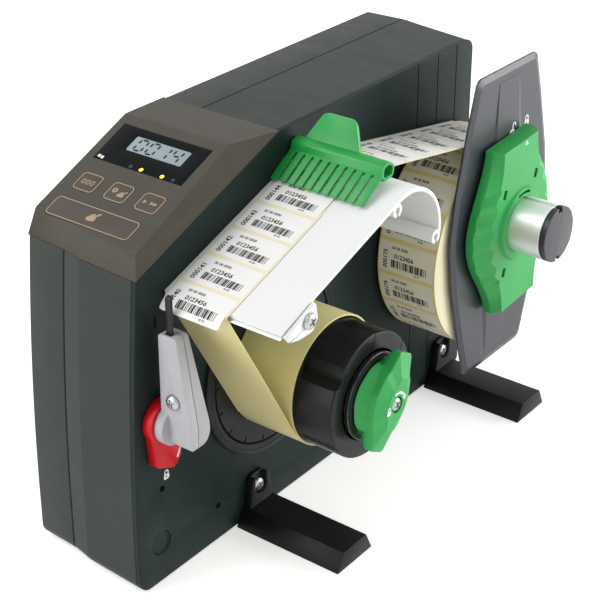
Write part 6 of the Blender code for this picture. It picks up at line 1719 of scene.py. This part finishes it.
@dataclass
class Supply(Assembly):
    """The spindle with its cap, the label roll on its core, the guide wing and the lock hub."""

    axis: Point = (298.0, 149.3)
    radius: float = 19.2
    bore: float = 16.7
    end: float = 92.0
    roll: Point = (298.0, 130.7)
    roll_radius: float = 72.5
    core: Point = (38.1, 43.1)
    strip: tuple[float, float] = (3.0, 47.5)
    hub_rest: float = math.radians(4.0)
    wing_half: tuple[Point, ...] = ((0.0, 61.5), (33.0, 57.0), (75.0, 46.0), (100.0, 38.5))

    def build(self) -> None:
        """Build and dress the supply side."""
        self.build_spindle()
        self.build_roll()
        self.build_wing()
        self.build_hub()

    def build_spindle(self) -> None:
        """The tube with its keyway, and the notched cap."""
        place = side_frame(*self.axis)
        base = [(self.radius, 2.8), (self.radius, self.end), (self.bore, self.end), (self.bore, 2.8)]
        tube = turned("spindle_sleeve", softened(base, 0.3), place, 128)
        way = box("keyway", (3.0, 2.4, 184.0), (0.0, self.radius, self.end), place)
        self.fit(carved(tube, [way]), Look.ALUMINIUM, nodes=["spindle_tube"])
        seat, face = self.end + 0.3, self.end + 4.5
        corners = [(0.0, face, 0.0), (self.radius, face, 0.6), (self.radius, seat, 0.25),
                   (self.bore - 0.3, seat, 0.0), (self.bore - 0.3, seat - 10.0, 0.4),
                   (0.0, seat - 10.0, 0.0)]
        profile = rounded(corners, 4)
        cap = turned("end_cap", profile, place, 128)
        cuts = [box(f"cap_notch_{i}", (4.4, 6.8, 14.0), (0.0, side * self.radius, face), place)
                for i, side in enumerate((1, -1))]
        self.fit(eased(carved(cap, cuts), 0.25, 60.0), Look.SLATE, nodes=["spindle_cap"])

    def build_roll(self) -> None:
        """The card core and the wound labels, with a full outer turn of printed labels whose paper and liner are
        tinted by painted shade.
        """
        place = side_frame(*self.roll)
        inner, outer = self.core
        self.fit(turned("card_core", ring(outer, inner, *self.strip, 0.3), place, 128), Look.CARD,
                 "supply_roll", ["roll_core"])
        body = turned("wound_labels", ring(self.roll_radius - 0.5, outer + 0.3, *self.strip, 0.2),
                      place, 160)
        self.fit(body, Look.WOUND, "supply_roll", ["label_roll"])
        tape = Tape(arc(self.roll, self.roll_radius - 0.5, math.pi / 2, math.pi / 2 + math.tau, 240))
        liner, sheets, ink = Batch(), Batch(), Batch()
        tape.bar(liner, (self.strip[0] + 0.1, self.strip[1] - 0.1), (0.5, tape.length - 0.5),
                 (0.0, LINER_FACE), 0.0, 2.0)
        printed = LabelPrint()
        count = 19
        for i in range(count):
            front = tape.length * (i + 1) / count - 1.0
            printed.add(sheets, ink, tape, front, LABEL_BASE, 160 + count - i)
        # The outer turn's liner and labels carry painted shade in their finishes.
        self.fit(liner.done("roll_liner"), Look.ROLL_LINER, "supply_roll")
        self.fit(sheets.done("roll_labels"), Look.ROLL_LABEL, "supply_roll")
        self.fit(ink.done("roll_print"), Look.INK, "supply_roll")

    def wing_outline(self, inset: float) -> Loop:
        """The wing's outline, widest at its axis, drawn in by an inset."""
        side = [(-z, w) for z, w in self.wing_half[:0:-1]] + list(self.wing_half)
        right = [(w - inset, z, 40.0 if abs(z) < 90.0 else 0.0) for z, w in side]
        end = 107.0 - inset
        tip = (self.wing_half[-1][1] - 2.0 - inset, end, 6.0)
        upper = right + [tip]
        left = [(-tip[0], end, 6.0)] + [(-u, v, r) for u, v, r in right[::-1]]
        low = [(-tip[0], -end, 6.0), (tip[0], -end, 6.0)]
        return rounded(upper + left + low, 8)

    def build_wing(self) -> None:
        """The guide wing: a rimmed plate with folds that rise toward the hub, and its lock signs."""
        place = Matrix.Translation((0.0, *self.axis))
        stations = ((49.8, 0.7), (50.0, 0.2), (50.4, 0.0), (51.3, 0.0), (51.6, 0.2), (52.8, 4.2))
        sections = [[(x, y, z) for y, z in self.wing_outline(inset)] for x, inset in stations]
        wing = lofted("guide_wing_plate", sections, place, sharp=18.0)
        folds = []
        for i, side in enumerate((1, -1)):
            root, tip, half = 36.0 * side, 98.0 * side, 15.0 * side
            base = [(51.3, -half * 2, root), (51.3, half * 2, root), (54.7, half, root),
                    (54.7, -half, root)]
            point = [(51.3, -half * 0.84, tip), (51.3, half * 0.84, tip), (53.0, half * 0.8, tip),
                     (53.0, -half * 0.8, tip)]
            folds.append(lofted(f"fold_{i}", [base, point], place))
        carved(wing, folds, "UNION", 7.0)
        bore = turned("wing_bore", ring(24.6, 0.0, 47.0, 70.0), side_frame(*self.axis), 96)
        self.fit(carved(wing, [bore], sharp=7.0), Look.SLATE, "wing", ["guide_wing"])
        signs = Batch()
        padlock(signs, 1.05, 52.79, 52.85, True, (26.0, 61.5))
        padlock(signs, 1.05, 53.6, 54.2, False, (5.0, 61.5))
        self.fit(signs.done("wing_signs", side_frame(*self.axis)), Look.MARK, "wing")

    def hub_outline(self, points: Sequence[Point], share: float) -> Loop:
        """The hub's outline with wavy grips on both sides.

        Args:
            points: Tip, shoulder and waist of a quarter.
            share: Depth of the grips as a share.

        Returns:
            The outline.
        """
        tip, mid, waist = points
        steps = 88
        belly = math.log((mid[0] - tip[0]) / (waist[0] - tip[0])) / math.log(math.cos(math.pi / 2 * mid[1] / tip[1]))
        right: Loop = []
        for i in range(steps + 1):
            z = tip[1] - 2 * tip[1] * i / steps
            round_share = max(math.cos(math.pi / 2 * z / tip[1]), 0.0) ** belly
            wide = tip[0] + (waist[0] - tip[0]) * round_share
            if abs(z) < mid[1]:
                wide += 1.9 * share * math.cos(math.pi * 5 * z / mid[1])
            right.append((wide, z))
        return right + [(-w, -z) for w, z in right]

    def build_hub(self) -> None:
        """The green lock hub with its face slots and triangle sign."""
        back = ((25.0, 60.0), (37.0, 31.0), (48.0, 0.0))
        front = ((21.0, 59.0), (25.5, 34.0), (35.5, 0.0))
        place = Matrix.Translation((0.0, *self.axis)) @ Matrix.Rotation(self.hub_rest, 4, "X")
        stations = ((55.0, 0.0, 0.0), (55.5, 0.0, 0.0), (60.0, 0.0, 0.0), (61.0, 0.05, 0.25),
                    (66.4, 0.93, 1.0), (67.0, 1.0, 1.0))
        sections = []
        for x, share, grips in stations:
            points = [(a[0] + (b[0] - a[0]) * share, a[1] + (b[1] - a[1]) * share)
                      for a, b in zip(back, front)]
            sections.append([(x, y, z) for y, z in self.hub_outline(points, grips)])
        hub = lofted("lock_hub_grip", sections, place, sharp=28.0)
        frame_here = side_frame(*self.axis, self.hub_rest)
        profile = [(24.0, 69.0), (24.7, 68.5), (25.5, 67.0), (25.5, 57.0), (24.0, 57.0),
                   (24.0, 49.8), (0.0, 49.8), (0.0, 69.0)]
        carved(hub, [turned("hub_boss", profile, frame_here, 96)], "UNION", 28.0)
        cuts = [turned("hub_bore", ring(19.5, 0.0, 47.0, 72.0), frame_here, 96)]
        twist = Matrix.Rotation(math.radians(-20.0), 4, "Z")
        for i, (y, z) in enumerate(((-19.5, 29.0), (19.5, 29.0), (-19.5, -29.0))):
            spot = frame_here @ Matrix.Translation((y, z, 67.0)) @ twist
            cuts.append(box(f"hub_slot_{i}", (4.0, 6.4, 8.0), (0.0, 0.0, 0.0), spot))
        groove = ribbon(arc((0.0, 0.0), 23.4, math.radians(66.0), math.radians(104.0), 24),
                        arc((0.0, 0.0), 21.4, math.radians(66.0), math.radians(104.0), 24))
        cuts.append(prism("hub_groove", [groove], 65.0, 71.0, frame_here))
        self.fit(carved(hub, cuts, sharp=28.0), Look.HUB, "hub", ["lock_hub"])
        sign = Batch()
        sign.slab([[(4.6, 55.0), (8.4, 55.0), (6.5, 58.2)]], 66.99, 67.05)
        self.fit(sign.done("hub_sign", frame_here), Look.MARK, "hub")


# Feet, inlet and switch

@dataclass
class Underpinnings(Assembly):
    """The foot bars and the mains fittings in the rear."""

    foot_front: float = 79.6
    foot_rear: float = 292.2
    foot_width: float = 35.3

    def build(self) -> None:
        """Build and dress the feet, inlet and switch."""
        for node, y in (("front_foot", self.foot_front), ("rear_foot", self.foot_rear)):
            self.fit(refined(node, f"{node}_bar", 0.8), Look.FOOT, nodes=[node])
            place = side_frame(y + self.foot_width / 2, 24.5) @ Matrix.Translation((0.0, 0.0, 3.0))
            self.screw(f"{node}_screw", f"{node}_cross_screw", place, 4.8, 2.8, (2.4, 10.0))
        self.fit(refined("power_inlet", "mains_inlet", 0.3), Look.BLACK, nodes=["power_inlet"])
        self.fit(refined("power_switch", "rocker_switch", 0.5), Look.BLACK, "rocker", ["power_switch"])


# Stage

@dataclass
class Studio:
    """The pale floor, soft light and the camera at the photograph's angle."""

    eye: Triple = (0.5278226, -0.7303498, 0.6016934)
    yaw: float = 0.6492973
    pitch: float = 0.4598751
    roll: float = 0.001562
    lens: float = 95.5587
    shift: Point = (-0.007747, -0.082344)

    def build(self) -> None:
        """Set up the stage."""
        self.build_camera()
        self.build_floor()
        self.build_world()
        self.lamp("key", (-1.1, -1.3, 1.9), 1.6, 26.0)
        self.lamp("rim", (1.3, 1.3, 0.5), 1.3, 30.0)
        self.lamp("fill", (-0.7, -1.5, 0.35), 0.9, 7.0)
        bpy.context.scene.view_settings.view_transform = "Standard"

    def build_camera(self) -> None:
        """The camera, placed from the fitted view."""
        right = Vector((math.cos(self.yaw), math.sin(self.yaw), 0.0))
        ahead = Vector((-math.sin(self.yaw) * math.cos(self.pitch),
                        math.cos(self.yaw) * math.cos(self.pitch), -math.sin(self.pitch)))
        up = right.cross(ahead)
        cos, sin = math.cos(self.roll), math.sin(self.roll)
        right, up = right * cos + up * sin, up * cos - right * sin
        data = bpy.data.cameras.new("camera")
        data.lens = self.lens
        data.sensor_width = 36.0
        data.shift_x, data.shift_y = self.shift
        camera = bpy.data.objects.new("camera", data)
        turn_to = Matrix((right, up, -ahead)).transposed().to_4x4()
        camera.matrix_world = Matrix.Translation(self.eye) @ turn_to
        bpy.context.scene.collection.objects.link(camera)
        bpy.context.scene.camera = camera

    def lamp(self, name: str, place: Triple, size: float, power: float) -> None:
        """A soft square lamp that looks at the machine."""
        data = bpy.data.lights.new(name, "AREA")
        data.size = size
        data.energy = power
        lamp = bpy.data.objects.new(name, data)
        lamp.location = place
        away = Vector(place) - Vector((0.0, 0.0, 0.12))
        lamp.rotation_euler = away.to_track_quat("Z", "Y").to_euler()
        bpy.context.scene.collection.objects.link(lamp)

    @staticmethod
    def seen(pen: Sketch) -> bpy.types.NodeSocket:
        """1 for rays that see the background directly, in gloss or through glass."""
        path = pen.add("LightPath")
        both = pen.maths("MAXIMUM", path.outputs["Is Camera Ray"], path.outputs["Is Glossy Ray"])
        return pen.maths("MAXIMUM", both, path.outputs["Is Transmission Ray"])

    def build_floor(self) -> None:
        """A large white floor that keeps a soft shadow."""
        mesh = bpy.data.meshes.new("floor")
        size = 6.0
        mesh.from_pydata([(-size, -size, 0.0), (size, -size, 0.0), (size, size, 0.0),
                          (-size, size, 0.0)], [],
                         [(0, 1, 2, 3)])
        floor = bpy.data.objects.new("floor", mesh)
        bpy.context.scene.collection.objects.link(floor)
        made = bpy.data.materials.new("floor")
        made.use_nodes = True
        made.node_tree.nodes.clear()
        pen = Sketch(made.node_tree)
        matte = pen.add("BsdfDiffuse", {"Color": (0.9, 0.9, 0.9)})
        lift = pen.add("Emission",
                       {"Color": (1.0, 1.0, 1.0),
                        "Strength": pen.maths("MULTIPLY", self.seen(pen), 0.5)})
        both = pen.add("AddShader", {0: matte.outputs[0], 1: lift.outputs[0]})
        pen.add("OutputMaterial", {0: both.outputs[0]})
        mesh.materials.append(made)

    def build_world(self) -> None:
        """A white surround for the eye and softer, plain light for the object."""
        world = bpy.data.worlds.new("studio")
        bpy.context.scene.world = world
        world.use_nodes = True
        world.node_tree.nodes.clear()
        pen = Sketch(world.node_tree)
        strength = pen.stretch(self.seen(pen), 0.0, 1.0, 0.62, 1.0)
        shade = pen.add("Background", {"Color": (1.0, 1.0, 1.0), "Strength": strength})
        pen.add("OutputWorld", {0: shade.outputs[0]})


def main() -> None:
    """Build every sub-assembly, then the stage."""
    logging.basicConfig(level=logging.INFO, format="%(name)s: %(message)s")
    palette = Palette()
    for kind in (Housing, ControlPanel, DispensingPlate, LabelComb, LabelSensor, Rewinder, Supply,
                 Underpinnings):
        kind(palette).build()
        LOG.info("%s ready", kind.__name__)
    Studio().build()


if __name__ == "__main__":
    main()
